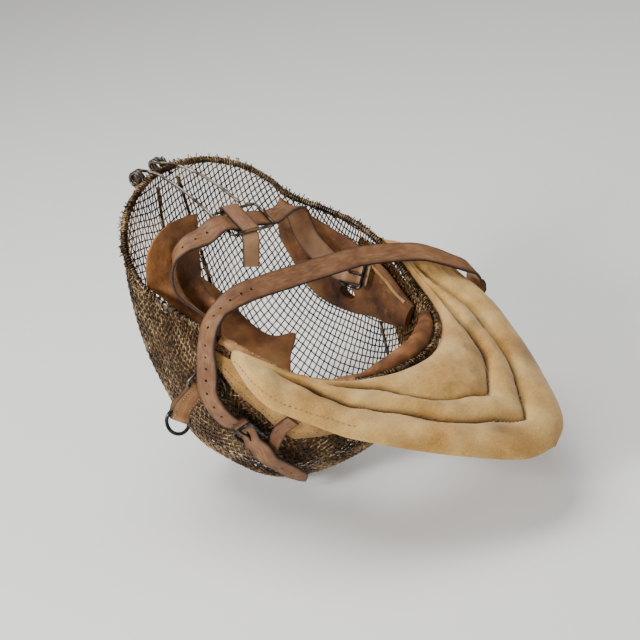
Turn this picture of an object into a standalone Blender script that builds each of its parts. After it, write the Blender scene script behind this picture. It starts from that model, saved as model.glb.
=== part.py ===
"""A vintage wire fencing mask with a quilted canvas bib, lying on its face and its left side.

The mask is modelled in its own axes and then laid down by one empty:
+X runs across to the wearer's right, +Y back out of the opening, and +Z down from the crown to the chin.
Tables give places as shares of the named sizes: across and back of HALF_WIDTH, down of FACE_DROP.
"""

import math

import bmesh
import bpy
import numpy as np
from mathutils import Matrix, Vector

# Wire mesh
HALF_WIDTH = 0.100
CROWN_RISE = 0.073
FACE_DROP = 0.198
CROWN_LIFT = 0.029
MESH_DEPTH = 0.166
NOSE_DOWN = 0.0685
MESH_WALL = 0.0026
CROWN_ROUND = 1.6
CHEEK_ROUND = 0.7
CHIN_ROUND = 0.8
MESH_COLUMNS = 20
MESH_ROWS = 6
MESH_BAR_SHARE = 0.26
RIM_BAND = 0.010
NOSE_CAP = 0.87
RIM_RADIUS = 0.0026
RIB_RADIUS = 0.0013

# Tongue spring and strap frame
SPRING_RADIUS = 0.00125
COIL_RADIUS = 0.0055
COIL_TURNS = 3
COIL_PITCH = 0.0032
FRAME_LENGTH = 0.0300
FRAME_SPAN = 0.0400

# Leather
STRAP_WIDTH = 0.019
STRAP_THICK = 0.0024
PAD_THICK = 0.013
FLAP_THICK = 0.0028
ROLL_RADIUS = 0.0085
TAB_WIDTH = 0.0155
TAB_THICK = 0.0024
KEEPER_WIDTH = 0.0155
TAIL_LENGTH = 0.021

# Buckles and ring
BUCKLE_LENGTH = 0.019
BUCKLE_WIRE = 0.0014
PRONG_WIRE = 0.0010
RING_RADIUS = 0.0099
RING_WIRE = 0.0015
HANGER_WIRE = 0.0011
TAB_DROP = 0.027

# Canvas
BIB_REACH = 0.122
BIB_THICK = 0.0165
SEAM_SHARE = 0.42
GUSSET_THICK = 0.0014

# Clearances
GAP = 0.0004
FACET_SAG = 0.0008
STAND_OFF = 0.0012

# How the mask lies, in degrees about X, Y and Z
LIE_PITCH, LIE_ROLL, LIE_TURN = 113.89, 0.09, 50.84

# Half of the mesh's edge from the crown to the chin. across is a share of HALF_WIDTH, down of CROWN_RISE above
# the temples and of FACE_DROP below them, lift of CROWN_LIFT.
RIM_COLUMNS = ("across", "down", "lift")
RIM = (
    (0.00, -1.00, 1.00),
    (0.47, -0.86, 0.86),
    (0.77, -0.58, 0.55),
    (0.91, -0.26, 0.21),
    (0.94, 0.00, 0.00),
    (0.99, 0.18, 0.07),
    (1.00, 0.35, 0.14),
    (0.94, 0.53, 0.00),
    (0.83, 0.68, -0.21),
    (0.66, 0.82, -0.14),
    (0.38, 0.94, 0.14),
    (0.00, 1.00, 0.34),
)

# Half of the bib from its wing's end to its tip: the place on the rim that its inner edge follows, its outer edge,
# and the two quilting seams between them with their depth. rim and down below 1 are shares of FACE_DROP; past the
# chin, down counts BIB_REACH.
BIB_COLUMNS = ("rim", "across", "down", "seam_a", "seam_b", "groove_a", "groove_b", "full")
BIB = (
    (0.420, 1.040, 0.440, 0.08, 0.30, 0.0, 0.0, 0.35),
    (0.450, 1.080, 0.475, 0.08, 0.25, 0.0, 0.0, 0.75),
    (0.520, 1.150, 0.540, 0.06, 0.20, 0.0, 0.0, 0.95),
    (0.610, 1.220, 0.620, 0.05, 0.16, 0.0, 0.1, 1.0),
    (0.705, 1.250, 0.715, 0.05, 0.17, 0.0, 0.6, 1.0),
    (0.785, 1.190, 0.830, 0.07, 0.30, 0.1, 1.0, 1.0),
    (0.855, 1.120, 0.960, 0.13, 0.45, 0.7, 1.0, 1.0),
    (0.920, 1.010, 1.130, 0.20, 0.53, 1.0, 1.0, 1.0),
    (0.965, 0.850, 1.350, 0.34, 0.59, 1.0, 1.0, 1.0),
    (0.988, 0.610, 1.630, 0.42, 0.66, 1.0, 1.0, 1.0),
    (0.998, 0.300, 1.915, 0.45, 0.74, 1.0, 1.0, 1.0),
    (1.000, 0.000, 2.000, 0.46, 0.75, 1.0, 1.0, 1.0),
)

# The canvas band sewn to the outside of the mesh: down the rim, and how far its sewn edge drops down the mesh.
GUSSET_COLUMNS = ("down", "drop")
GUSSET = ((0.36, 0.030), (0.40, 0.050), (0.46, 0.075), (0.59, 0.110), (0.72, 0.170), (0.82, 0.150), (1.00, 0.130))

# The right cheek pad: down the rim, how far its lower edge drops down the mesh, and how full it is there.
RIGHT_PAD_COLUMNS = ("down", "drop", "full")
RIGHT_PAD = (
    (-0.08, 0.090, 0.2),
    (0.03, 0.170, 0.6),
    (0.11, 0.210, 0.9),
    (0.18, 0.240, 1.0),
    (0.25, 0.250, 1.0),
    (0.32, 0.250, 0.9),
    (0.38, 0.240, 0.8),
    (0.46, 0.215, 0.8),
    (0.56, 0.165, 1.0),
    (0.66, 0.125, 0.8),
    (0.75, 0.080, 0.3),
)
RIGHT_PAD_ACROSS = (0.0, 0.14, 0.30, 0.50, 0.70, 0.87, 1.0)
EAR_HOLE_CELL = (3, 2)
STRAP_WINDOW_CELL = (6, 3)

# The left cheek pad, which has come away from the mesh: its edge at the mesh, a middle and its free edge.
LEFT_PAD_COLUMNS = (
    "mesh_down", "mesh_drop", "mid_across", "mid_back", "mid_down", "free_across", "free_back", "free_down", "full",
)
LEFT_PAD = (
    (0.04, 0.10, -0.62, -0.26, 0.02, -0.36, -0.10, 0.00, 0.3),
    (0.14, 0.12, -0.62, -0.34, 0.13, -0.26, -0.24, 0.12, 0.8),
    (0.26, 0.13, -0.60, -0.40, 0.25, -0.22, -0.40, 0.26, 1.0),
    (0.38, 0.13, -0.56, -0.44, 0.36, -0.16, -0.46, 0.36, 1.0),
    (0.48, 0.12, -0.50, -0.44, 0.45, -0.04, -0.42, 0.43, 0.9),
    (0.56, 0.11, -0.56, -0.40, 0.52, -0.30, -0.40, 0.50, 0.6),
    (0.62, 0.10, -0.62, -0.36, 0.58, -0.48, -0.38, 0.56, 0.3),
)

# The flap that stands up at the left temple: its root, its arch and its torn free edge.
FLAP_COLUMNS = (
    "root_across", "root_back", "root_down", "mid_across", "mid_back", "mid_down", "free_across", "free_back", "free_down",
)
FLAP = (
    (-0.893, 0.000, -0.035, -0.735, 0.350, -0.086, -0.160, 0.280, -0.092),
    (-0.770, -0.140, 0.045, -0.665, 0.190, -0.005, -0.280, 0.160, -0.035),
    (-0.735, -0.220, 0.120, -0.685, 0.100, 0.080, -0.460, 0.100, 0.050),
    (-0.725, -0.240, 0.200, -0.680, 0.010, 0.160, -0.580, 0.030, 0.130),
    (-0.725, -0.250, 0.290, -0.690, -0.050, 0.260, -0.660, -0.010, 0.250),
)

# Routes of the straps, as places in the mask and the way that each strap's face looks there.
ROUTE_COLUMNS = ("across", "back", "down", "face_across", "face_back", "face_down")
HEAD_STRAP_LEFT = (
    (-0.830, -0.060, 0.300, -0.85, -0.50, -0.10),
    (-0.835, -0.005, 0.230, -0.72, -0.66, -0.14),
    (-0.840, 0.020, 0.175, -0.70, -0.66, -0.20),
    (-0.855, 0.045, 0.132, -0.72, -0.60, -0.34),
    (-0.860, 0.090, 0.092, -0.70, -0.45, -0.55),
    (-0.830, 0.170, 0.056, -0.58, -0.20, -0.78),
    (-0.770, 0.245, 0.034, -0.30, 0.25, -0.92),
    (-0.690, 0.305, 0.022, -0.18, 0.75, -0.60),
    (-0.560, 0.335, 0.025, -0.12, 0.95, -0.15),
    (-0.430, 0.345, 0.038, -0.12, 1.00, 0.05),
)
HEAD_STRAP_RIGHT = (
    (0.460, 0.225, 0.117, 0.12, 0.93, -0.25),
    (0.640, 0.145, 0.103, 0.30, 0.85, -0.42),
    (0.755, 0.035, 0.105, 0.60, 0.30, -0.70),
    (0.775, -0.075, 0.135, 0.72, -0.40, -0.52),
    (0.765, -0.170, 0.190, 0.74, -0.50, -0.40),
    (0.765, -0.235, 0.265, 0.80, -0.42, -0.20),
)
NECK_STRAP_OVER = (
    (1.215, -0.165, 0.870, 0.80, -0.50, 0.20),
    (1.262, -0.070, 0.862, 0.95, 0.10, 0.25),
    (1.235, 0.040, 0.845, 0.75, 0.60, 0.35),
    (1.130, 0.108, 0.792, 0.35, 0.90, 0.35),
    (0.990, 0.140, 0.664, 0.05, 0.95, 0.25),
    (0.820, 0.150, 0.591, -0.05, 0.95, 0.25),
    (0.550, 0.160, 0.504, -0.10, 0.95, 0.30),
    (0.310, 0.170, 0.458, -0.12, 0.93, 0.30),
    (-0.070, 0.180, 0.392, -0.15, 0.90, 0.30),
    (-0.390, 0.180, 0.335, -0.20, 0.90, 0.25),
    (-0.600, 0.175, 0.303, -0.30, 0.90, 0.15),
    (-0.790, 0.160, 0.296, -0.50, 0.82, -0.12),
    (-0.988, 0.146, 0.312, -0.76, 0.58, -0.30),
    (-1.088, 0.032, 0.335, -0.95, 0.18, -0.25),
)
# The way that loose ends hang, and the way of the ring's tab from its hanger to its ring, in the mask's own axes
HANG_WAY = np.array([-0.391, -0.804, 0.449])
TAB_WAYS = ((-0.601, -0.758, -0.232), (-0.411, -0.854, -0.305), (-0.424, -0.876, 0.179))
# The two arms of the spring from their coils to the strap frame, where each has its end beside the frame's wire.
ARM_COLUMNS = ("across", "back", "down")
LEFT_ARM = (
    (-0.089, 0.340, -0.374), (-0.075, 0.350, -0.324), (-0.117, 0.365, -0.174), (-0.182, 0.360, -0.030),
)
RIGHT_ARM = (
    (0.100, 0.340, -0.370), (0.150, 0.350, -0.315), (0.172, 0.365, -0.200), (0.155, 0.360, -0.080),
)

COLOURS = {
    "oxidised_wire": ((0.10, 0.085, 0.07), 0.45, 0.9),
    "spring_wire": ((0.42, 0.38, 0.33), 0.35, 1.0),
    "black_steel": ((0.03, 0.03, 0.035), 0.4, 0.9),
    "strap_leather": ((0.32, 0.17, 0.10), 0.6, 0.0),
    "pad_leather": ((0.40, 0.16, 0.06), 0.55, 0.0),
    "canvas": ((0.62, 0.45, 0.25), 0.85, 0.0),
}


def material(name):
    found = bpy.data.materials.get(name)
    if found:
        return found
    colour, roughness, metallic = COLOURS[name]
    made = bpy.data.materials.new(name)
    made.use_nodes = True
    shader = made.node_tree.nodes["Principled BSDF"]
    shader.inputs["Base Color"].default_value = (*colour, 1.0)
    shader.inputs["Roughness"].default_value = roughness
    shader.inputs["Metallic"].default_value = metallic
    return made


def rows_of(table, columns):
    """A table as one array for each named column."""
    return dict(zip(columns, np.array(table, float).T))


def smooth(points, per, closed=False):
    """Points along a Catmull-Rom curve through the given points, with per steps between two of them."""
    points = np.asarray(points, float)
    if closed:
        around = np.concatenate([points[-1:], points, points[:2]])
    else:
        around = np.concatenate([2 * points[:1] - points[1:2], points, 2 * points[-1:] - points[-2:-1]])
    t = np.arange(per)[:, None] / per
    found = []
    for i in range(1, len(around) - 2):
        a, b, c, d = around[i - 1 : i + 3]
        found.append(0.5 * (2 * b + (c - a) * t + (2 * a - 5 * b + 4 * c - d) * t**2 + (3 * b - a - 3 * c + d) * t**3))
    if not closed:
        found.append(points[-1:])
    return np.concatenate(found)


def unit(vector):
    return vector / np.linalg.norm(vector)


def at(across, back, down):
    """A place in the mask from shares of its half width and of the drop from temples to chin."""
    return np.array([across * HALF_WIDTH, back * HALF_WIDTH, down * FACE_DROP])


def half_rim():
    """Dense points of the mesh's edge on the right side, from the crown to the chin."""
    rows = rows_of(RIM, RIM_COLUMNS)
    down = np.where(rows["down"] < 0, rows["down"] * CROWN_RISE, rows["down"] * FACE_DROP)
    points = np.stack([rows["across"] * HALF_WIDTH, rows["lift"] * CROWN_LIFT, down], 1)
    mirrored = (points * [-1, 1, 1])[-2:0:-1]
    per = 24
    whole = smooth(np.concatenate([points, mirrored]), per, closed=True)
    return whole[: (len(points) - 1) * per + 1]


HALF_RIM = half_rim()


def rim_at(side, down):
    """The mesh's edge at a height, on the right (side 1) or the left (side -1)."""
    point = np.array([np.interp(down, HALF_RIM[:, 2], HALF_RIM[:, k]) for k in range(3)])
    point[0] *= side
    return point


def rim_turn(turn):
    """The mesh's edge by its place round it: 0 at the crown, 1 at the chin, by the right side."""
    turn = turn % 2.0
    side = 1 if turn <= 1 else -1
    share = turn if turn <= 1 else 2 - turn
    place = share * (len(HALF_RIM) - 1)
    point = np.array([np.interp(place, np.arange(len(HALF_RIM)), HALF_RIM[:, k]) for k in range(3)])
    point[0] *= side
    return point


def turn_of(side, down):
    """The place round the edge that has this height on this side."""
    share = np.interp(down, HALF_RIM[:, 2], np.arange(len(HALF_RIM))) / (len(HALF_RIM) - 1)
    return share if side > 0 else 2 - share


def bowl(turn, drop):
    """The middle of the mesh's wall: drop runs from 0 at the edge to 1 at the deepest point."""
    edge = rim_turn(turn)
    out = np.array([edge[0], edge[2] - NOSE_DOWN])
    lean = out[1] / np.linalg.norm(out)
    end = CHIN_ROUND if lean > 0 else CROWN_ROUND
    power = CHEEK_ROUND + (end - CHEEK_ROUND) * lean**2
    angle = math.radians(90 * min(max(drop, 0.0), 1.0))
    keep = max(math.cos(angle), 0.0) ** power
    sink = math.sin(angle) ** power
    return np.array([out[0] * keep, edge[1] * keep - MESH_DEPTH * sink, NOSE_DOWN + out[1] * keep])


def mesh_at(turn, drop, out=0.0):
    """A place that stands out from the middle of the mesh's wall, or inside it where out is negative."""
    step = 0.004
    drop = max(drop, 0.004)
    along = bowl(turn + step, drop) - bowl(turn - step, drop)
    deeper = bowl(turn, min(drop + step, 0.995)) - bowl(turn, drop - step * 0.5)
    normal = unit(np.cross(along, deeper))
    place = bowl(turn, drop)
    if normal @ (place - np.array([0.0, -0.3 * MESH_DEPTH, NOSE_DOWN])) < 0:
        normal = -normal
    return place + normal * out


ROOT = None
PARTS = None
CUTTERS = None


def keep_object(name, data, finish):
    """One sub-part, carried by the empty that lays the mask down."""
    made = bpy.data.objects.new(name, data)
    data.materials.append(material(finish))
    PARTS.objects.link(made)
    made.parent = ROOT
    return made


def mesh_object(name, points, faces, finish, smooth_angle=40):
    mesh = bpy.data.meshes.new(name)
    mesh.from_pydata([tuple(p) for p in points], [], faces)
    build = bmesh.new()
    build.from_mesh(mesh)
    bmesh.ops.recalc_face_normals(build, faces=build.faces)
    build.to_mesh(mesh)
    build.free()
    mesh.shade_smooth()
    mesh.set_sharp_from_angle(angle=math.radians(smooth_angle))
    return keep_object(name, mesh, finish)


def wire(name, points, radius, finish, cyclic=False, sides=2):
    """A round wire along its points."""
    curve = bpy.data.curves.new(name, "CURVE")
    curve.dimensions = "3D"
    curve.bevel_depth = radius
    curve.bevel_resolution = sides
    curve.use_fill_caps = not cyclic
    spline = curve.splines.new("POLY")
    spline.points.add(len(points) - 1)
    for slot, point in zip(spline.points, points):
        slot.co = (*point, 1.0)
    spline.use_cyclic_u = cyclic
    return keep_object(name, curve, finish)


def loft(name, rings, finish, closed=False):
    """A solid through rings of points, with flat ends unless it closes on itself."""
    count = len(rings[0])
    points = [p for ring in rings for p in ring]
    faces = []
    last = len(rings) if closed else len(rings) - 1
    for i in range(last):
        a, b = i * count, (i + 1) % len(rings) * count
        for k in range(count):
            n = (k + 1) % count
            faces.append((a + k, a + n, b + n, b + k))
    if not closed:
        faces.append(tuple(range(count)))
        faces.append(tuple((len(rings) - 1) * count + k for k in range(count)))
    return mesh_object(name, points, faces, finish)


def strap(name, points, faces_to, finish, width=STRAP_WIDTH, thick=STRAP_THICK, point_end=False):
    """A flat strap along its points, whose broad face looks the given way at each of them."""
    points = np.asarray(points)
    rings = []
    for i, (place, look) in enumerate(zip(points, faces_to)):
        run = unit(points[min(i + 1, len(points) - 1)] - points[max(i - 1, 0)])
        look = unit(look - run * (look @ run))
        aside = np.cross(run, look)
        half = width / 2
        if point_end and i >= len(points) - 3:
            half *= (0.85, 0.55, 0.18)[i - len(points) + 3]
        corners = ((-1, -1), (1, -1), (1, 1), (-1, 1))
        rings.append([place + aside * half * a + look * thick / 2 * b for a, b in corners])
    return loft(name, rings, finish)


def padded(name, under, over, finish, holes=()):
    """A pad between two grids of points that meet round their border, with any cells left open as holes."""
    rows, columns = len(under), len(under[0])
    points = [p for grid in (under, over) for row in grid for p in row]
    shift = rows * columns

    def spot(i, k, layer):
        return layer * shift + i * columns + k

    open_cells = set(holes)
    faces = []
    for i in range(rows - 1):
        for k in range(columns - 1):
            if (i, k) in open_cells:
                continue
            for layer in (0, 1):
                faces.append(tuple(spot(*c, layer) for c in ((i, k), (i + 1, k), (i + 1, k + 1), (i, k + 1))))
            for cell, edge in (
                ((i - 1, k), ((i, k), (i, k + 1))),
                ((i + 1, k), ((i + 1, k), (i + 1, k + 1))),
                ((i, k - 1), ((i, k), (i + 1, k))),
                ((i, k + 1), ((i, k + 1), (i + 1, k + 1))),
            ):
                outside = not (0 <= cell[0] < rows - 1 and 0 <= cell[1] < columns - 1)
                if outside or cell in open_cells:
                    a, b = edge
                    faces.append((spot(*a, 0), spot(*b, 0), spot(*b, 1), spot(*a, 1)))
    return mesh_object(name, points, faces, finish, smooth_angle=60)


def bend(start, middle, end, steps):
    """Points along one smooth bend that passes its middle point."""
    pull = 2 * middle - 0.5 * (start + end)
    t = np.linspace(0, 1, steps)[:, None]
    return (1 - t) ** 2 * start + 2 * t * (1 - t) * pull + t**2 * end


def drop_from_edge(turn, distance):
    """How far down the mesh a place is that lies this distance from the edge wire's middle."""
    drops = np.linspace(0.0, 0.3, 61)
    away = [np.linalg.norm(bowl(turn, drop) - rim_turn(turn)) for drop in drops]
    return float(np.interp(distance, away, drops))


def mesh_bowl():
    """The mesh as an open net: square gaps between bars, under a plain band at the edge."""
    turns = []
    for i in range(MESH_COLUMNS):
        start = 2.0 * i / MESH_COLUMNS
        turns += [start, start + 2.0 * MESH_BAR_SHARE / MESH_COLUMNS]
    levels = []
    for turn in turns:
        band = drop_from_edge(turn, RIM_BAND)
        drops = [drop_from_edge(turn, RIM_RADIUS + MESH_WALL / 2 + GAP), band]
        for k in range(MESH_ROWS):
            reach = (NOSE_CAP - band) / MESH_ROWS
            drops += [band + reach * (k + 1 - MESH_BAR_SHARE), band + reach * (k + 1)]
        levels.append(drops)
    rows = len(levels[0])
    points = [mesh_at(turns[i], levels[i][k], MESH_WALL / 2) for k in range(rows) for i in range(len(turns))]
    count = len(turns)
    faces = []
    for k in range(rows - 1):
        for i in range(count):
            if i % 2 == 1 and k % 2 == 1:
                continue
            n = (i + 1) % count
            faces.append((k * count + i, k * count + n, (k + 1) * count + n, (k + 1) * count + i))
    points.append(bowl(0.0, 1.0) - np.array([0.0, MESH_WALL / 2, 0.0]))
    base = (rows - 1) * count
    for i in range(count):
        faces.append((base + i, base + (i + 1) % count, len(points) - 1))
    made = mesh_object("mesh_bowl", points, faces, "oxidised_wire")
    wall = made.modifiers.new("wall", "SOLIDIFY")
    wall.thickness = MESH_WALL
    wall.offset = -1.0
    return made


def rim_wire():
    points = [rim_turn(2.0 * i / 72) for i in range(72)]
    return wire("rim_wire", points, RIM_RADIUS, "oxidised_wire", cyclic=True)


def ribs():
    """The doubled wires that stiffen the mesh on its inside."""
    inside = -(MESH_WALL / 2 + RIB_RADIUS + GAP + FACET_SAG)
    for name, across_start, across_end in (("brow_rib_left", -0.05, -0.30), ("brow_rib_right", 0.20, 0.42)):
        start = turn_near_crown(across_start)
        end = turn_near_crown(across_end)
        near = drop_from_edge(start, RIM_RADIUS + RIB_RADIUS + 0.006)
        points = []
        for i in range(14):
            share = i / 13
            points.append(mesh_at(start + (end - start) * share, near + 0.60 * share, inside))
        wire(name, points, RIB_RADIUS, "oxidised_wire")
    points = []
    for i in range(9):
        share = i / 8
        down = (0.60 + 0.27 * share) * FACE_DROP
        points.append(mesh_at(turn_of(1, down), 0.155 + 0.16 * share, inside))
    wire("jaw_rib", points, RIB_RADIUS, "spring_wire")


def turn_near_crown(across):
    """The place round the edge that lies this share of the half width from the crown's middle."""
    above = HALF_RIM[HALF_RIM[:, 2] < 0]
    share = np.interp(abs(across) * HALF_WIDTH, above[:, 0], np.arange(len(above))) / (len(HALF_RIM) - 1)
    return share if across > 0 else -share


def spring_arms():
    """Two wires: each has a foot outside the mesh, a coil over the crown and an arm to the strap frame."""
    crown = rim_turn(0.0)
    centre, along, aside, _ = frame_axes()
    clear = 2 * SPRING_RADIUS + 2 * GAP
    ends = {
        -1: centre - aside * (FRAME_SPAN / 2 + clear) - along * FRAME_LENGTH * 0.16,
        1: centre + aside * FRAME_SPAN * 0.21 - along * (FRAME_LENGTH / 2 + 2 * clear),
    }
    back = crown[1] - 0.004
    down = crown[2] - RIM_RADIUS - SPRING_RADIUS - GAP - COIL_RADIUS * 0.9
    for side, name, arm in ((-1, "spring_arm_left", LEFT_ARM), (1, "spring_arm_right", RIGHT_ARM)):
        middle = 0.134 * side * HALF_WIDTH
        outer = middle + side * COIL_PITCH * COIL_TURNS / 2
        beside = turn_near_crown(outer / HALF_WIDTH)
        foot = mesh_at(beside, drop_from_edge(beside, RIM_BAND * 0.8), MESH_WALL / 2 + SPRING_RADIUS + GAP)
        points = [foot]
        for i in range(10 * COIL_TURNS + 1):
            angle = 2 * math.pi * (i / 10) - math.pi / 2
            across = outer - side * COIL_PITCH * i / 10
            points.append(np.array([across, back - COIL_RADIUS * math.sin(angle), down + COIL_RADIUS * math.cos(angle)]))
        start = np.array([points[-1][0], back + COIL_RADIUS + 0.0012, down + 0.003])
        bow = np.array([start] + [at(*row) for row in arm] + [ends[side]])
        wire(name, np.concatenate([points, smooth(bow, 3)]), SPRING_RADIUS, "spring_wire")


def frame_axes():
    """The strap frame at the end of the arms: its middle, and its axes down, across and out."""
    centre = at(-0.020, 0.350, 0.085)
    along = unit(np.array([-0.36, 0.02, 0.93]))
    face = unit(np.cross(along, np.array([0.968, 0.0, 0.30])))
    face = face if face[1] > 0 else -face
    aside = unit(np.cross(face, along))
    aside = aside if aside[0] > 0 else -aside
    return centre, along, aside, face


def strap_frame():
    """A closed wire rectangle with small rounded corners."""
    centre, along, aside, _ = frame_axes()
    cut = 0.003
    half_l, half_s = FRAME_LENGTH / 2, FRAME_SPAN / 2
    corners = (
        (-half_s + cut, -half_l), (half_s - cut, -half_l), (half_s, -half_l + cut), (half_s, half_l - cut),
        (half_s - cut, half_l), (-half_s + cut, half_l), (-half_s, half_l - cut), (-half_s, -half_l + cut),
    )
    points = [centre + aside * s + along * t for s, t in corners]
    return wire("strap_frame", points, SPRING_RADIUS, "spring_wire", cyclic=True)


def strap_keeper():
    """A leather strip folded over the frame's top bar, round the strap, with its tail hanging plumb."""
    centre, along, aside, face = frame_axes()
    leaf = SPRING_RADIUS + STRAP_THICK / 2 + GAP
    top = FRAME_LENGTH / 2
    centre = centre - aside * 0.0042
    front = [(0.0165, leaf), (0.004, leaf), (-0.004, leaf), (-0.012, leaf)]
    fold = [(-top - leaf * math.sin(a), leaf * math.cos(a)) for a in np.linspace(0.0, math.pi, 6)]
    rear = [(-0.010, -leaf), (0.0, -leaf), (0.010, -leaf), (0.016, -leaf)]
    points = [centre + along * t + face * f for t, f in front + fold + rear]
    looks = [face] * 4 + [face * math.cos(a) - along * math.sin(a) for a in np.linspace(0.0, math.pi, 6)] + [-face] * 4
    plumb = HANG_WAY
    drop = [points[-1] + (along * 0.35 + plumb * 0.65) * 0.005]
    drop += [drop[0] + plumb * TAIL_LENGTH * share for share in (0.33, 0.66, 1.0)]
    out = unit(np.cross(plumb, aside))
    out = out if out @ face < 0 else -out
    looks += [unit(-face + out)] + [out] * 3
    return strap("strap_keeper", points + drop, looks, "strap_leather", width=KEEPER_WIDTH)


def head_strap():
    """The strap round the back of the head: over the frame's left bar, under its keeper and right bar."""
    centre, along, aside, face = frame_axes()
    lift = SPRING_RADIUS + STRAP_THICK / 2 + GAP
    low = along * FRAME_LENGTH * 0.05
    half = FRAME_SPAN / 2
    spots = ((-half - 0.007, lift), (-half, lift + 0.0003), (-half + 0.0045, 0.0012), (-0.0125, 0.0), (-0.004, 0.0),
             (0.006, 0.0), (half - 0.007, -0.0012), (half, -lift - 0.0003), (half + 0.007, -lift))
    middle = np.array([centre + low + aside * s + face * f for s, f in spots])
    looks = np.tile(face, (len(middle), 1))
    left = np.array(HEAD_STRAP_LEFT)
    right = np.array(HEAD_STRAP_RIGHT)
    left_points = np.array([at(*row[:3]) for row in left])
    right_points = np.array([at(*row[:3]) for row in right])
    place, run, out = head_buckle_axes()
    end = through_buckle(place, run, out, tail=0.004)
    points = np.concatenate([left_points, middle, right_points, end])
    turned = np.concatenate([left[:, 3:], looks, right[:, 3:], np.tile(-out, (len(end), 1))])
    both = smooth(np.concatenate([points, turned], 1), 2)
    made = strap("head_strap", both[:, :3], both[:, 3:], "strap_leather")
    cut_prong_slot(made, place, run, out)
    return made


def through_buckle(place, run, out, tail):
    """A strap's points through a buckle: over its hinge bar, down through the frame, under its outer bar."""
    lift = BUCKLE_WIRE + STRAP_THICK / 2 + GAP
    half = BUCKLE_LENGTH / 2
    spots = (
        (-half - 0.004, lift + 0.0003),
        (-half + 0.001, lift + 0.0003),
        (-0.0035, lift - 0.0002),
        (0.0035, -lift + 0.0002),
        (half - 0.001, -lift - 0.0003),
        (half + tail, -lift - 0.0006),
    )
    return np.array([place + run * t + out * h for t, h in spots])


def buckle(name, prong, place, run, out):
    aside = np.cross(out, run)
    half_l = BUCKLE_LENGTH / 2
    half_w = STRAP_WIDTH / 2 + BUCKLE_WIRE + GAP + 0.0006
    cut = 0.002
    corners = (
        (-half_l, -half_w + cut), (-half_l, half_w - cut), (-half_l + cut, half_w), (half_l - cut, half_w),
        (half_l, half_w - cut), (half_l, -half_w + cut), (half_l - cut, -half_w), (-half_l + cut, -half_w),
    )
    wire(name, [place + run * t + aside * s for t, s in corners], BUCKLE_WIRE, "black_steel", cyclic=True)
    rest = BUCKLE_WIRE + PRONG_WIRE + GAP
    points = [
        place + run * (-half_l + rest),
        place + run * -0.002,
        place + run * 0.004 + out * rest * 0.6,
        place + run * (half_l - 0.002) + out * rest,
        place + run * (half_l + 0.0015) + out * rest,
    ]
    wire(prong, points, PRONG_WIRE, "black_steel")


def cut_prong_slot(strap_object, place, run, out):
    """The hole that the prong passes, cut through the strap."""
    aside = np.cross(out, run)
    size = (0.009, 2 * PRONG_WIRE + 0.0012, 0.012)
    bpy.ops.mesh.primitive_cube_add(size=1.0)
    cutter = bpy.context.object
    cutter.name = strap_object.name + "_slot"
    axes = Matrix((run, aside, out)).transposed().to_4x4()
    cutter.data.transform(Matrix.Translation(Vector(place + run * 0.0005)) @ axes @ Matrix.Diagonal((*size, 1.0)))
    for collection in list(cutter.users_collection):
        collection.objects.unlink(cutter)
    CUTTERS.objects.link(cutter)
    cutter.parent = ROOT
    cutter.hide_render = True
    cutter.display_type = "WIRE"
    slot = strap_object.modifiers.new("slot", "BOOLEAN")
    slot.object = cutter
    slot.operation = "DIFFERENCE"


def head_buckle_axes():
    """The middle of the head strap's buckle, the way from its hinge to its outer bar, and the way it faces."""
    place = at(0.765, -0.235, 0.425)
    run = unit(np.array([0.04, 0.22, 0.97]))
    out = np.array([-0.90, 0.42, -0.10])
    out = unit(out - run * (out @ run))
    return place, run, out


def neck_buckle_axes():
    """The middle of the neck strap's buckle, the way from its hinge to its outer bar, and the way it faces."""
    place = mesh_at(1.340, 0.195, 0.0085)
    run = unit(mesh_at(1.370, 0.178, 0.0085) - mesh_at(1.308, 0.214, 0.0085))
    out = mesh_facing(1.340, 0.195)
    out = unit(out - run * (out @ run))
    return place, run, out


def mesh_facing(turn, drop):
    return unit(mesh_at(turn, drop, 0.02) - mesh_at(turn, drop, 0.0))


def neck_strap():
    """The whole neck strap, from the right jaw over the bib and the opening, and down to its buckle and tip."""
    skin = MESH_WALL / 2 + GUSSET_THICK + STRAP_THICK / 2 + 3 * GAP
    hidden = ((0.700, 0.150, 0.0016), (0.697, 0.105, 0.0040))
    first = [mesh_at(turn, drop, skin + out) for turn, drop, out in hidden]
    first_looks = [mesh_facing(turn, drop) for turn, drop, _ in hidden]
    over = np.array(NECK_STRAP_OVER)
    over_points = [at(*row[:3]) for row in over]
    clear = MESH_WALL / 2 + STRAP_THICK / 2 + STAND_OFF
    outside = ((1.452, 0.055, 0.004), (1.436, 0.095, 0.0100), (1.412, 0.135, 0.0095), (1.386, 0.165, 0.0075))
    down = [mesh_at(turn, drop, clear + out) for turn, drop, out in outside]
    looks = [mesh_facing(turn, drop) for turn, drop, _ in outside]
    place, run, out = neck_buckle_axes()
    past = through_buckle(place, run, out, tail=0.004)[::-1]
    lower = ((1.285, 0.250, 0.0090), (1.240, 0.320, 0.0040), (1.205, 0.390, 0.0025), (1.172, 0.480, 0.0025))
    tail = [mesh_at(turn, drop, clear + lift) for turn, drop, lift in lower]
    tail_looks = [mesh_facing(turn, drop) for turn, drop, _ in lower]
    points = np.concatenate([first, over_points, down, past, tail])
    facing = np.concatenate([first_looks, over[:, 3:], looks, np.tile(out, (len(past), 1)), tail_looks])
    both = smooth(np.concatenate([points, facing], 1), 2)
    made = strap("neck_strap", both[:, :3], both[:, 3:], "strap_leather", point_end=True)
    cut_prong_slot(made, place, run, out)
    return made


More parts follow.
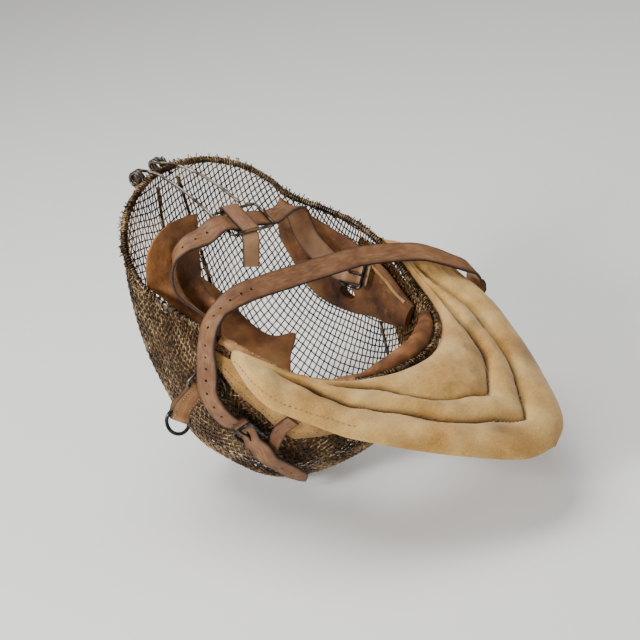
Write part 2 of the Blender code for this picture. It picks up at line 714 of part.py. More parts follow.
def chapes():
    """The short strap ends that hold the two buckles by their hinge bars."""
    place, run, out = neck_buckle_axes()
    hinge = place - run * (BUCKLE_LENGTH / 2 + BUCKLE_WIRE + GAP + 0.0022)
    lift = MESH_WALL / 2 + GUSSET_THICK + STRAP_THICK / 2 + 4 * GAP
    spots = ((1.284, 0.165), (1.278, 0.125), (1.258, 0.085))
    points = [hinge, hinge - run * 0.006] + [mesh_at(turn, drop, lift + 0.0008) for turn, drop in spots]
    looks = [out, out] + [mesh_facing(turn, drop) for turn, drop in spots]
    both = smooth(np.concatenate([points, looks], 1), 2)
    strap("neck_chape", both[:, :3], both[:, 3:], "strap_leather", width=STRAP_WIDTH * 0.6)


def right_pad():
    rows = rows_of(RIGHT_PAD, RIGHT_PAD_COLUMNS)
    wall = MESH_WALL / 2 + GAP + FACET_SAG
    under, over = [], []
    for down, drop, full in zip(rows["down"], rows["drop"], rows["full"]):
        turn = turn_of(1, down * (CROWN_RISE if down < 0 else FACE_DROP))
        low, high = [], []
        for share in RIGHT_PAD_ACROSS:
            puff = math.sin(math.pi * min(max(share, 0.0), 1.0)) ** 0.6
            thick = 0.0025 + (PAD_THICK - 0.0025) * puff * full
            spot = 0.022 + (drop - 0.022) * share
            low.append(mesh_at(turn, spot, -wall))
            high.append(mesh_at(turn, spot, -wall - thick))
        under.append(low)
        over.append(high)
    return padded("cheek_pad_right", under, over, "pad_leather", holes=(EAR_HOLE_CELL, STRAP_WINDOW_CELL))


def left_pad():
    rows = rows_of(LEFT_PAD, LEFT_PAD_COLUMNS)
    under, over = [], []
    steps = 7
    for i in range(len(LEFT_PAD)):
        row = {name: values[i] for name, values in rows.items()}
        turn = turn_of(-1, row["mesh_down"] * FACE_DROP)
        edge = mesh_at(turn, row["mesh_drop"], -(MESH_WALL / 2 + GAP + 0.0007))
        middle = at(row["mid_across"], row["mid_back"], row["mid_down"])
        free = at(row["free_across"], row["free_back"], row["free_down"])
        spine = bend(edge, middle, free, steps)
        low, high = [], []
        for k, spot in enumerate(spine):
            share = k / (steps - 1)
            run = unit(spine[min(k + 1, steps - 1)] - spine[max(k - 1, 0)])
            up = unit(np.cross(np.array([0.0, 0.0, 1.0]), run))
            up = up if up[1] > 0 else -up
            thick = 0.0025 + (PAD_THICK * 0.8 - 0.0025) * math.sin(math.pi * share) ** 0.6 * row["full"]
            low.append(spot - up * thick / 2)
            high.append(spot + up * thick / 2)
        under.append(low)
        over.append(high)
    return padded("cheek_pad_left", under, over, "pad_leather")


def ear_flap():
    rows = rows_of(FLAP, FLAP_COLUMNS)
    grid = []
    steps = 7
    for i in range(len(FLAP)):
        row = {name: values[i] for name, values in rows.items()}
        edge = at(row["root_across"], row["root_back"], row["root_down"])
        middle = at(row["mid_across"], row["mid_back"], row["mid_down"])
        free = at(row["free_across"], row["free_back"], row["free_down"])
        grid.append(bend(edge, middle, free, steps))
    points = [p for line in grid for p in line]
    faces = []
    for i in range(len(grid) - 1):
        for k in range(steps - 1):
            a = i * steps + k
            faces.append((a, a + 1, a + steps + 1, a + steps))
    made = mesh_object("ear_flap_left", points, faces, "pad_leather", smooth_angle=60)
    wall = made.modifiers.new("wall", "SOLIDIFY")
    wall.thickness = FLAP_THICK
    wall.offset = 0.0
    return made


def chin_roll():
    """The stuffed leather roll inside the chin, thick at its middle and thin at its ends."""
    start, end = turn_of(1, 0.87 * FACE_DROP), turn_of(-1, 0.82 * FACE_DROP)
    count = 15
    rings = []
    for i in range(count):
        share = i / (count - 1)
        turn = start + (end - start) * share
        full = 0.30 + 0.70 * math.sin(math.pi * min(share * 1.12 + 0.06, 1.0)) ** 0.7
        radius = ROLL_RADIUS * full
        edge = rim_turn(turn)
        inward = unit(np.array([-edge[0], 0.0, NOSE_DOWN * 1.4 - edge[2]]))
        back = np.array([0.0, 1.0, 0.0])
        centre = edge + inward * (radius + RIM_RADIUS + GAP) - back * radius * 0.35
        rings.append([
            centre + inward * radius * math.cos(2 * math.pi * k / 10) + back * radius * math.sin(2 * math.pi * k / 10)
            for k in range(10)
        ])
    return loft("chin_roll", rings, "pad_leather")


def bib_section(row, side):
    """One row across the bib: the ring of points round its quilted front and its plainer back."""
    edge = rim_at(side, row["rim"] * FACE_DROP)
    down = row["down"] * FACE_DROP if row["down"] <= 1 else FACE_DROP + (row["down"] - 1) * BIB_REACH
    outer = np.array([row["across"] * HALF_WIDTH * side, -0.004, down])
    away = unit((outer - edge) * [1, 0, 1])
    inner = edge + away * (RIM_RADIUS + GAP + 0.0005) - np.array([0.0, 0.001, 0.0])
    width = np.linalg.norm(outer - inner)
    thick = min(BIB_THICK, 0.004 + width * 0.45) * row["full"]
    a, b = row["seam_a"], row["seam_b"]
    low_a, low_b = 1.0 - SEAM_SHARE * row["groove_a"], 1.0 - SEAM_SHARE * row["groove_b"]
    front = (
        (0.00, 0.15), (a * 0.28, 0.85), (a * 0.70, 0.95), (a, low_a), (a + (b - a) * 0.22, 0.97),
        (a + (b - a) * 0.78, 1.00), (b, low_b), (b + (1 - b) * 0.22, 1.00), (b + (1 - b) * 0.72, 0.95), (1.00, 0.10),
    )
    rear = ((0.92, -0.80), (0.62, -1.00), (0.34, -1.00), (0.08, -0.70))
    back = np.array([0.0, 1.0, 0.0])
    return [inner + (outer - inner) * share + back * thick / 2 * height for share, height in front + rear]


def bib():
    rows = rows_of(BIB, BIB_COLUMNS)
    names = list(rows)
    half = [dict(zip(names, values)) for values in zip(*rows.values())]
    rings = [bib_section(row, 1) for row in half]
    rings += [bib_section(row, -1) for row in half[-2::-1]]
    return loft("bib", rings, "canvas")


def bib_gusset():
    """The canvas band on the mesh's outside, from under the bib down to its sewn edge."""
    rows = rows_of(GUSSET, GUSSET_COLUMNS)
    downs = rows["down"] * FACE_DROP
    start, end = turn_of(1, downs[0]), turn_of(-1, downs[0])
    count = 34
    grid = []
    for i in range(count + 1):
        turn = start + (end - start) * i / count
        height = rim_turn(turn)[2]
        drop = np.interp(height, downs, rows["drop"])
        top = 0.014
        grid.append([mesh_at(turn, top + (drop - top) * share, MESH_WALL / 2 + GAP) for share in (0.0, 0.5, 1.0)])
    points = [p for line in grid for p in line]
    faces = []
    for i in range(count):
        for k in range(2):
            a = i * 3 + k
            faces.append((a, a + 1, a + 4, a + 3))
    made = mesh_object("bib_gusset", points, faces, "canvas", smooth_angle=60)
    wall = made.modifiers.new("wall", "SOLIDIFY")
    wall.thickness = GUSSET_THICK
    wall.offset = 1.0
    return made


def ring_and_tab():
    """A wire hanger on the left cheek, a leather tab folded round it, and a steel ring in the tab's lower fold."""
    lift = MESH_WALL / 2 + HANGER_WIRE + GAP
    top = mesh_at(1.465, 0.120, lift + 0.0060)
    aside = unit(np.array([0.62, -0.40, 0.67]))
    corners = ((1.412, 0.118, 0.0016), (1.412, 0.100, 0.0006), (1.422, 0.070, 0.0003), (1.455, 0.060, 0.0003),
               (1.474, 0.075, 0.0006))
    frame = [top - aside * TAB_WIDTH * 0.62, top + aside * TAB_WIDTH * 0.62]
    frame += [mesh_at(turn, drop, lift + out) for turn, drop, out in corners]
    wire("ring_hanger", frame, HANGER_WIRE, "spring_wire", cyclic=True)
    ways = [unit(np.array(way)) for way in TAB_WAYS]
    steps = (0.40, 0.33, 0.27)
    spine = [top]
    for way, step in zip(ways, steps):
        spine.append(spine[-1] + way * TAB_DROP * step)
    upper = HANGER_WIRE + TAB_THICK / 2 + 1.5 * GAP
    lower = RING_WIRE + TAB_THICK / 2 + 2.2 * GAP
    half = (upper, TAB_THICK / 2 + 0.0010, lower + 0.0003, lower + 0.0003)
    across = []
    for i in range(len(spine)):
        way = unit(spine[min(i + 1, len(spine) - 1)] - spine[max(i - 1, 0)])
        across.append((way, unit(np.cross(aside, way))))
    points, looks = [], []
    for i in (0, 1, 2, 3):
        points.append(spine[i] + across[i][1] * half[i])
        looks.append(across[i][1])
    way, face = across[3]
    for angle in np.linspace(0.0, math.pi, 7)[1:-1]:
        points.append(spine[3] + face * lower * math.cos(angle) + way * lower * math.sin(angle))
        looks.append(face * math.cos(angle) + way * math.sin(angle))
    for i in (3, 2, 1, 0):
        points.append(spine[i] - across[i][1] * half[i])
        looks.append(-across[i][1])
    way, face = across[0]
    for angle in np.linspace(math.pi, 2 * math.pi, 7)[1:-1]:
        points.append(spine[0] + face * upper * math.cos(angle) + way * upper * math.sin(angle))
        looks.append(face * math.cos(angle) + way * math.sin(angle))
    band(
        "ring_tab", points, looks, aside, "strap_leather", TAB_WIDTH, TAB_THICK,
    )
    way = across[3][0]
    centre = spine[3] + way * (math.sqrt(RING_RADIUS**2 - (TAB_WIDTH / 2) ** 2) - 3 * GAP)
    circle = []
    for i in range(24):
        angle = 2 * math.pi * i / 24
        circle.append(centre + way * RING_RADIUS * math.cos(angle) + aside * RING_RADIUS * math.sin(angle))
    wire("tab_ring", circle, RING_WIRE, "black_steel", cyclic=True)


def band(name, points, looks, aside, finish, width, thick):
    """A closed leather band, all of whose points lie along one axis."""
    rings = []
    for place, look in zip(points, looks):
        corners = ((-1, -1), (1, -1), (1, 1), (-1, 1))
        rings.append([place + aside * width / 2 * a + look * thick / 2 * b for a, b in corners])
    return loft(name, rings, finish, closed=True)


def lay_down():
    """Moves the mask so that it rests on Z = 0 with the middle of its box over the origin."""
    bpy.context.view_layer.update()
    graph = bpy.context.evaluated_depsgraph_get()
    low = np.full(3, np.inf)
    high = np.full(3, -np.inf)
    for piece in PARTS.objects:
        evaluated = piece.evaluated_get(graph)
        mesh = evaluated.to_mesh()
        points = np.empty(len(mesh.vertices) * 3, np.float32)
        mesh.vertices.foreach_get("co", points)
        evaluated.to_mesh_clear()
        world = points.reshape(-1, 3) @ np.array(evaluated.matrix_world.to_3x3()).T
        world = world + np.array(evaluated.matrix_world.translation)
        low = np.minimum(low, world.min(0))
        high = np.maximum(high, world.max(0))
    ROOT.location = Vector((-(low[0] + high[0]) / 2, -(low[1] + high[1]) / 2, -low[2]))
    bpy.context.view_layer.update()


def main():
    global ROOT, PARTS, CUTTERS
    for old in list(bpy.data.objects):
        bpy.data.objects.remove(old, do_unlink=True)
    PARTS = bpy.data.collections.new("fencing_mask")
    CUTTERS = bpy.data.collections.new("cutters")
    bpy.context.scene.collection.children.link(PARTS)
    bpy.context.scene.collection.children.link(CUTTERS)
    ROOT = bpy.data.objects.new("mask", None)
    bpy.context.scene.collection.objects.link(ROOT)
    ROOT.rotation_euler = [math.radians(a) for a in (LIE_PITCH, LIE_ROLL, LIE_TURN)]
    bpy.context.view_layer.update()
    mesh_bowl()
    rim_wire()
    ribs()
    spring_arms()
    strap_frame()
    strap_keeper()
    head_strap()
    neck_strap()
    place, run, out = neck_buckle_axes()
    buckle("neck_buckle", "neck_prong", place, run, out)
    place, run, out = head_buckle_axes()
    buckle("head_buckle", "head_prong", place, run, out)
    chapes()
    right_pad()
    left_pad()
    ear_flap()
    chin_roll()
    bib()
    bib_gusset()
    ring_and_tab()
    lay_down()


main()
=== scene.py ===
"""The looks of a vintage wire fencing mask: woven mesh, bound rim, leather, straps and a quilted canvas bib."""

import math

import bmesh
import bpy
import numpy as np
from mathutils import Euler, Matrix, Vector


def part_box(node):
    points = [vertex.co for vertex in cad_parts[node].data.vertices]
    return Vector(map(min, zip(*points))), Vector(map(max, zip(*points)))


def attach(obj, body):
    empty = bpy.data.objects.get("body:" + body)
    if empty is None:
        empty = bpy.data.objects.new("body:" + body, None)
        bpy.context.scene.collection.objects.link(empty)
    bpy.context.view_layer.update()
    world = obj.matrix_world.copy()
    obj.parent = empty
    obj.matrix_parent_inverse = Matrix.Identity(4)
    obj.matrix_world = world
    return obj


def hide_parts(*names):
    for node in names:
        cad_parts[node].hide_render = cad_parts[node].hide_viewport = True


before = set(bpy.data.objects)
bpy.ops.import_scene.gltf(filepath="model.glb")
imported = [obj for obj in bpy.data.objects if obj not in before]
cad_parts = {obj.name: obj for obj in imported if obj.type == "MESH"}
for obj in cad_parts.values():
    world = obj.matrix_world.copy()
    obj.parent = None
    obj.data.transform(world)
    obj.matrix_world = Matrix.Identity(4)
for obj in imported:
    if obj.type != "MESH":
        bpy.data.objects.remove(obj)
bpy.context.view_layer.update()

# Wire mesh, as in the part's source
HALF_WIDTH = 0.100
CROWN_RISE = 0.073
FACE_DROP = 0.198
CROWN_LIFT = 0.029
MESH_DEPTH = 0.166
NOSE_DOWN = 0.0685
MESH_WALL = 0.0026
CROWN_ROUND = 1.6
CHEEK_ROUND = 0.7
CHIN_ROUND = 0.8
RIM_RADIUS = 0.0026
RIB_RADIUS = 0.0013
RIM_BAND = 0.010
FACET_SAG = 0.0008
GAP = 0.0004
STAND_OFF = 0.0012

# The weave
WEAVE_PITCH = 0.0060
WEAVE_WIRE = 0.00060
WEAVE_LIFT = 0.00055

# Springs, leather and buckles
SPRING_RADIUS = 0.00125
COIL_RADIUS = 0.0055
COIL_TURNS = 3
COIL_PITCH = 0.0032
FRAME_LENGTH = 0.0300
FRAME_SPAN = 0.0400
STRAP_WIDTH = 0.019
STRAP_THICK = 0.0024
PAD_THICK = 0.013
FLAP_THICK = 0.0028
ROLL_RADIUS = 0.0085
TAB_WIDTH = 0.0155
TAB_THICK = 0.0024
KEEPER_WIDTH = 0.0155
TAIL_LENGTH = 0.021
STRAP_HOLE_PITCH = 0.0115
BUCKLE_LENGTH = 0.019
BUCKLE_WIRE = 0.0014
PRONG_WIRE = 0.0010
RING_RADIUS = 0.0099
RING_WIRE = 0.0015
HANGER_WIRE = 0.0011
TAB_DROP = 0.027

# Canvas
BIB_REACH = 0.122
BIB_THICK = 0.0165
SEAM_SHARE = 0.42
GUSSET_THICK = 0.0014

# How the mask lies, in degrees about X, Y and Z
LIE = Euler([math.radians(a) for a in (113.89, 0.09, 50.84)])

RIM_COLUMNS = ("across", "down", "lift")
RIM = (
    (0.00, -1.00, 1.00),
    (0.47, -0.86, 0.86),
    (0.77, -0.58, 0.55),
    (0.91, -0.26, 0.21),
    (0.94, 0.00, 0.00),
    (0.99, 0.18, 0.07),
    (1.00, 0.35, 0.14),
    (0.94, 0.53, 0.00),
    (0.83, 0.68, -0.21),
    (0.66, 0.82, -0.14),
    (0.38, 0.94, 0.14),
    (0.00, 1.00, 0.34),
)
BIB_COLUMNS = ("rim", "across", "down", "seam_a", "seam_b", "groove_a", "groove_b", "full")
BIB = (
    (0.420, 1.040, 0.440, 0.08, 0.30, 0.0, 0.0, 0.35),
    (0.450, 1.080, 0.475, 0.08, 0.25, 0.0, 0.0, 0.75),
    (0.520, 1.150, 0.540, 0.06, 0.20, 0.0, 0.0, 0.95),
    (0.610, 1.220, 0.620, 0.05, 0.16, 0.0, 0.1, 1.0),
    (0.705, 1.250, 0.715, 0.05, 0.17, 0.0, 0.6, 1.0),
    (0.785, 1.190, 0.830, 0.07, 0.30, 0.1, 1.0, 1.0),
    (0.855, 1.120, 0.960, 0.13, 0.45, 0.7, 1.0, 1.0),
    (0.920, 1.010, 1.130, 0.20, 0.53, 1.0, 1.0, 1.0),
    (0.965, 0.850, 1.350, 0.34, 0.59, 1.0, 1.0, 1.0),
    (0.988, 0.610, 1.630, 0.42, 0.66, 1.0, 1.0, 1.0),
    (0.998, 0.300, 1.915, 0.41, 0.65, 1.0, 1.0, 1.0),
    (1.000, 0.000, 2.000, 0.46, 0.75, 1.0, 1.0, 1.0),
)
GUSSET_COLUMNS = ("down", "drop")
GUSSET = ((0.36, 0.030), (0.40, 0.050), (0.46, 0.075), (0.59, 0.110), (0.72, 0.170), (0.82, 0.150), (1.00, 0.130))
RIGHT_PAD_COLUMNS = ("down", "drop", "full")
RIGHT_PAD = (
    (-0.08, 0.090, 0.2),
    (0.03, 0.170, 0.6),
    (0.11, 0.210, 0.9),
    (0.18, 0.240, 1.0),
    (0.25, 0.250, 1.0),
    (0.32, 0.250, 0.9),
    (0.38, 0.240, 0.8),
    (0.46, 0.215, 0.8),
    (0.56, 0.165, 1.0),
    (0.66, 0.125, 0.8),
    (0.75, 0.080, 0.3),
)
RIGHT_PAD_ACROSS = (0.0, 0.14, 0.30, 0.50, 0.70, 0.87, 1.0)
LEFT_PAD_COLUMNS = (
    "mesh_down", "mesh_drop", "mid_across", "mid_back", "mid_down", "free_across", "free_back", "free_down", "full",
)
LEFT_PAD = (
    (0.04, 0.10, -0.62, -0.26, 0.02, -0.36, -0.10, 0.00, 0.3),
    (0.14, 0.12, -0.62, -0.34, 0.13, -0.26, -0.24, 0.12, 0.8),
    (0.26, 0.13, -0.60, -0.40, 0.25, -0.22, -0.40, 0.26, 1.0),
    (0.38, 0.13, -0.56, -0.44, 0.36, -0.16, -0.46, 0.36, 1.0),
    (0.48, 0.12, -0.50, -0.44, 0.45, -0.04, -0.42, 0.43, 0.9),
    (0.56, 0.11, -0.56, -0.40, 0.52, -0.30, -0.40, 0.50, 0.6),
    (0.62, 0.10, -0.62, -0.36, 0.58, -0.48, -0.38, 0.56, 0.3),
)
FLAP_COLUMNS = (
    "root_across", "root_back", "root_down", "mid_across", "mid_back", "mid_down", "free_across", "free_back", "free_down",
)
FLAP = (
    (-0.893, 0.000, -0.035, -0.735, 0.350, -0.086, -0.160, 0.280, -0.092),
    (-0.770, -0.140, 0.045, -0.665, 0.190, -0.005, -0.280, 0.160, -0.035),
    (-0.735, -0.220, 0.120, -0.685, 0.100, 0.080, -0.460, 0.100, 0.050),
    (-0.725, -0.240, 0.200, -0.680, 0.010, 0.160, -0.580, 0.030, 0.130),
    (-0.725, -0.250, 0.290, -0.690, -0.050, 0.260, -0.660, -0.010, 0.250),
)
# Routes of the straps: across, back, down, and the way that the strap's face looks
HEAD_STRAP_LEFT = (
    (-0.830, -0.060, 0.300, -0.85, -0.50, -0.10),
    (-0.835, -0.005, 0.230, -0.72, -0.66, -0.14),
    (-0.840, 0.020, 0.175, -0.70, -0.66, -0.20),
    (-0.855, 0.045, 0.132, -0.72, -0.60, -0.34),
    (-0.860, 0.090, 0.092, -0.70, -0.45, -0.55),
    (-0.830, 0.170, 0.056, -0.58, -0.20, -0.78),
    (-0.770, 0.245, 0.034, -0.30, 0.25, -0.92),
    (-0.690, 0.305, 0.022, -0.18, 0.75, -0.60),
    (-0.560, 0.335, 0.025, -0.12, 0.95, -0.15),
    (-0.430, 0.345, 0.038, -0.12, 1.00, 0.05),
)
HEAD_STRAP_RIGHT = (
    (0.460, 0.225, 0.117, 0.12, 0.93, -0.25),
    (0.640, 0.145, 0.103, 0.30, 0.85, -0.42),
    (0.755, 0.035, 0.105, 0.60, 0.30, -0.70),
    (0.775, -0.075, 0.135, 0.72, -0.40, -0.52),
    (0.765, -0.170, 0.190, 0.74, -0.50, -0.40),
    (0.765, -0.235, 0.265, 0.80, -0.42, -0.20),
)
NECK_STRAP_OVER = (
    (1.215, -0.165, 0.870, 0.80, -0.50, 0.20),
    (1.262, -0.070, 0.862, 0.95, 0.10, 0.25),
    (1.235, 0.040, 0.845, 0.75, 0.60, 0.35),
    (1.130, 0.108, 0.792, 0.35, 0.90, 0.35),
    (0.990, 0.140, 0.664, 0.05, 0.95, 0.25),
    (0.820, 0.150, 0.591, -0.05, 0.95, 0.25),
    (0.550, 0.160, 0.504, -0.10, 0.95, 0.30),
    (0.310, 0.170, 0.458, -0.12, 0.93, 0.30),
    (-0.070, 0.180, 0.392, -0.15, 0.90, 0.30),
    (-0.390, 0.180, 0.335, -0.20, 0.90, 0.25),
    (-0.600, 0.175, 0.303, -0.30, 0.90, 0.15),
    (-0.790, 0.160, 0.296, -0.50, 0.82, -0.12),
    (-0.988, 0.146, 0.312, -0.76, 0.58, -0.30),
    (-1.088, 0.032, 0.335, -0.95, 0.18, -0.25),
)
LEFT_ARM = (
    (-0.089, 0.340, -0.374), (-0.075, 0.350, -0.324), (-0.117, 0.365, -0.174), (-0.182, 0.360, -0.030),
)
RIGHT_ARM = (
    (0.100, 0.340, -0.370), (0.150, 0.350, -0.315), (0.172, 0.365, -0.200), (0.155, 0.360, -0.080),
)
# The camera from the mask's own origin, and its turn in degrees
CAMERA_PLACE = (0.0726, -1.3759, 0.6092)
CAMERA_TURN = (62.807, 9.457, -4.561)

# The way that loose ends hang, and the way of the ring's tab from its hanger to its ring, in the mask's own axes
HANG_WAY = np.array([-0.391, -0.804, 0.449])
TAB_WAYS = ((-0.601, -0.758, -0.232), (-0.411, -0.854, -0.305), (-0.424, -0.876, 0.179))


def rows_of(table, columns):
    """A table as one array for each named column."""
    return dict(zip(columns, np.array(table, float).T))


def smooth(points, per, closed=False):
    """Points along a Catmull-Rom curve through the given points, with per steps between two of them."""
    points = np.asarray(points, float)
    if closed:
        around = np.concatenate([points[-1:], points, points[:2]])
    else:
        around = np.concatenate([2 * points[:1] - points[1:2], points, 2 * points[-1:] - points[-2:-1]])
    t = np.arange(per)[:, None] / per
    found = []
    for i in range(1, len(around) - 2):
        a, b, c, d = around[i - 1 : i + 3]
        found.append(0.5 * (2 * b + (c - a) * t + (2 * a - 5 * b + 4 * c - d) * t**2 + (3 * b - a - 3 * c + d) * t**3))
    if not closed:
        found.append(points[-1:])
    return np.concatenate(found)


def unit(vector):
    return vector / np.maximum(np.linalg.norm(vector, axis=-1, keepdims=True), 1e-12)


def at(across, back, down):
    """A place in the mask from shares of its half width and of the drop from temples to chin."""
    return np.array([across * HALF_WIDTH, back * HALF_WIDTH, down * FACE_DROP])


def half_rim():
    """Dense points of the mesh's edge on the right side, from the crown to the chin."""
    rows = rows_of(RIM, RIM_COLUMNS)
    down = np.where(rows["down"] < 0, rows["down"] * CROWN_RISE, rows["down"] * FACE_DROP)
    points = np.stack([rows["across"] * HALF_WIDTH, rows["lift"] * CROWN_LIFT, down], 1)
    mirrored = (points * [-1, 1, 1])[-2:0:-1]
    per = 24
    whole = smooth(np.concatenate([points, mirrored]), per, closed=True)
    return whole[: (len(points) - 1) * per + 1]


HALF_RIM = half_rim()


def rim_at(side, down):
    """The mesh's edge at a height, on the right (side 1) or the left (side -1)."""
    point = np.array([np.interp(down, HALF_RIM[:, 2], HALF_RIM[:, k]) for k in range(3)])
    point[0] *= side
    return point


def rim_turn(turn):
    """The mesh's edge by its place round it: 0 at the crown, 1 at the chin, by the right side."""
    turn = turn % 2.0
    side = 1 if turn <= 1 else -1
    share = turn if turn <= 1 else 2 - turn
    place = share * (len(HALF_RIM) - 1)
    point = np.array([np.interp(place, np.arange(len(HALF_RIM)), HALF_RIM[:, k]) for k in range(3)])
    point[0] *= side
    return point


def turn_of(side, down):
    """The place round the edge that has this height on this side."""
    share = np.interp(down, HALF_RIM[:, 2], np.arange(len(HALF_RIM))) / (len(HALF_RIM) - 1)
    return share if side > 0 else 2 - share


def turn_near_crown(across):
    """The place round the edge that lies this share of the half width from the crown's middle."""
    above = HALF_RIM[HALF_RIM[:, 2] < 0]
    share = np.interp(abs(across) * HALF_WIDTH, above[:, 0], np.arange(len(above))) / (len(HALF_RIM) - 1)
    return share if across > 0 else -share


def bowl(turn, drop):
    """The middle of the mesh's wall: drop runs from 0 at the edge to 1 at the deepest point."""
    edge = rim_turn(turn)
    out = np.array([edge[0], edge[2] - NOSE_DOWN])
    lean = out[1] / np.linalg.norm(out)
    end = CHIN_ROUND if lean > 0 else CROWN_ROUND
    power = CHEEK_ROUND + (end - CHEEK_ROUND) * lean**2
    angle = math.radians(90 * min(max(drop, 0.0), 1.0))
    keep = max(math.cos(angle), 0.0) ** power
    sink = math.sin(angle) ** power
    return np.array([out[0] * keep, edge[1] * keep - MESH_DEPTH * sink, NOSE_DOWN + out[1] * keep])


def mesh_at(turn, drop, out=0.0):
    """A place that stands out from the middle of the mesh's wall, or inside it where out is negative."""
    step = 0.004
    drop = max(drop, 0.004)
    along = bowl(turn + step, drop) - bowl(turn - step, drop)
    deeper = bowl(turn, min(drop + step, 0.995)) - bowl(turn, drop - step * 0.5)
    normal = unit(np.cross(along, deeper))
    place = bowl(turn, drop)
    if normal @ (place - np.array([0.0, -0.3 * MESH_DEPTH, NOSE_DOWN])) < 0:
        normal = -normal
    return place + normal * out


def mesh_facing(turn, drop):
    return unit(mesh_at(turn, drop, 0.02) - mesh_at(turn, drop, 0.0))


def drop_from_edge(turn, distance):
    """How far down the mesh a place is that lies this distance from the edge wire's middle."""
    drops = np.linspace(0.0, 0.3, 61)
    away = [np.linalg.norm(bowl(turn, drop) - rim_turn(turn)) for drop in drops]
    return float(np.interp(distance, away, drops))


def lay_matrix():
    """The mask's axes in the room, from the rim wire's own box in the frame."""
    turn = np.array(LIE.to_matrix())
    rim = np.array([rim_turn(2.0 * i / 360) for i in range(360)]) @ turn.T
    low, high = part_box("rim_wire")
    centre = (np.array(low) + np.array(high)) / 2 - (rim.min(0) + rim.max(0)) / 2
    return turn, centre


TURN, ORIGIN = lay_matrix()


def laid(points):
    """Points of the mask in the room."""
    return np.asarray(points, float) @ TURN.T + ORIGIN


def ripple(points, length, seed, stretch=(1.0, 1.0, 1.0)):
    """Soft noise about -1 to 1 with features of the given length, the same on every run."""
    random = np.random.default_rng(seed)
    waves = 14
    ways = unit(random.normal(size=(waves, 3))) * (2 * math.pi / length) * random.uniform(0.6, 1.5, (waves, 1))
    phase = random.uniform(0, 2 * math.pi, waves)
    value = np.sin(np.asarray(points) * stretch @ ways.T + phase)
    return value.sum(-1) / math.sqrt(waves) * 0.9


def tone(code):
    """An sRGB hex colour as linear values."""
    parts = [int(code[i : i + 2], 16) / 255 for i in (1, 3, 5)]
    linear = [p / 12.92 if p <= 0.04045 else ((p + 0.055) / 1.055) ** 2.4 for p in parts]
    return (*linear, 1.0)


def add(tree, kind, inputs=None, **settings):
    """One node with its settings. An input is a constant or another node's output."""
    made = tree.nodes.new(kind)
    for name, value in settings.items():
        setattr(made, name, value)
    for slot, value in (inputs or {}).items():
        if isinstance(value, bpy.types.NodeSocket):
            tree.links.new(value, made.inputs[slot])
        else:
            made.inputs[slot].default_value = value
    return made


def blank_material(name, **sockets):
    """A material with only its shader, whose constant sockets are set, and the tree and shader to build on."""
    made = bpy.data.materials.new(name)
    made.use_nodes = True
    tree = made.node_tree
    shader = tree.nodes["Principled BSDF"]
    for slot, value in sockets.items():
        shader.inputs[slot.replace("_", " ")].default_value = value
    return made, tree, shader


def ramp(tree, factor, stops):
    """A colour ramp through (position, hex) stops."""
    made = add(tree, "ShaderNodeValToRGB", {0: factor})
    elements = made.color_ramp.elements
    while len(elements) < len(stops):
        elements.new(0.5)
    for element, (position, code) in zip(elements, stops):
        element.position = position
        element.color = tone(code)
    return made.outputs[0]


def oxidised_wire():
    """Drawn steel wire gone brown with age: dull bronze with grey glints where it has rubbed bright."""
    made, tree, shader = blank_material("oxidised_steel_wire", Metallic=0.85)
    place = add(tree, "ShaderNodeTexCoord").outputs["Object"]
    patches = add(tree, "ShaderNodeTexNoise", {"Vector": place, "Scale": 45.0, "Detail": 4.0}).outputs["Fac"]
    specks = add(tree, "ShaderNodeTexNoise", {"Vector": place, "Scale": 420.0, "Detail": 2.0}).outputs["Fac"]
    both = add(tree, "ShaderNodeMath", {0: patches, 1: specks}, operation="ADD").outputs[0]
    half = add(tree, "ShaderNodeMath", {0: both, 1: 0.5}, operation="MULTIPLY").outputs[0]
    colour = ramp(tree, half, ((0.38, "#1A120B"), (0.47, "#4A3724"), (0.55, "#85694A"), (0.66, "#C9B28A")))
    tree.links.new(colour, shader.inputs["Base Color"])
    rough = add(tree, "ShaderNodeMapRange", {0: specks, 1: 0.3, 2: 0.7, 3: 0.30, 4: 0.62}).outputs[0]
    tree.links.new(rough, shader.inputs["Roughness"])
    bump = add(tree, "ShaderNodeBump", {"Strength": 0.25, "Distance": 0.0002, "Height": specks})
    tree.links.new(bump.outputs[0], shader.inputs["Normal"])
    return made


def spring_steel():
    """Hard-drawn spring wire: smooth pale grey, with brown spots where the surface has rusted."""
    made, tree, shader = blank_material("spring_steel", Metallic=1.0)
    place = add(tree, "ShaderNodeTexCoord").outputs["Object"]
    spots = add(tree, "ShaderNodeTexNoise", {"Vector": place, "Scale": 120.0, "Detail": 5.0}).outputs["Fac"]
    colour = ramp(tree, spots, ((0.40, "#33291F"), (0.50, "#5C534A"), (0.70, "#7F786F")))
    tree.links.new(colour, shader.inputs["Base Color"])
    rough = add(tree, "ShaderNodeMapRange", {0: spots, 1: 0.35, 2: 0.65, 3: 0.55, 4: 0.28}).outputs[0]
    tree.links.new(rough, shader.inputs["Roughness"])
    bump = add(tree, "ShaderNodeBump", {"Strength": 0.15, "Distance": 0.0002, "Height": spots})
    tree.links.new(bump.outputs[0], shader.inputs["Normal"])
    return made


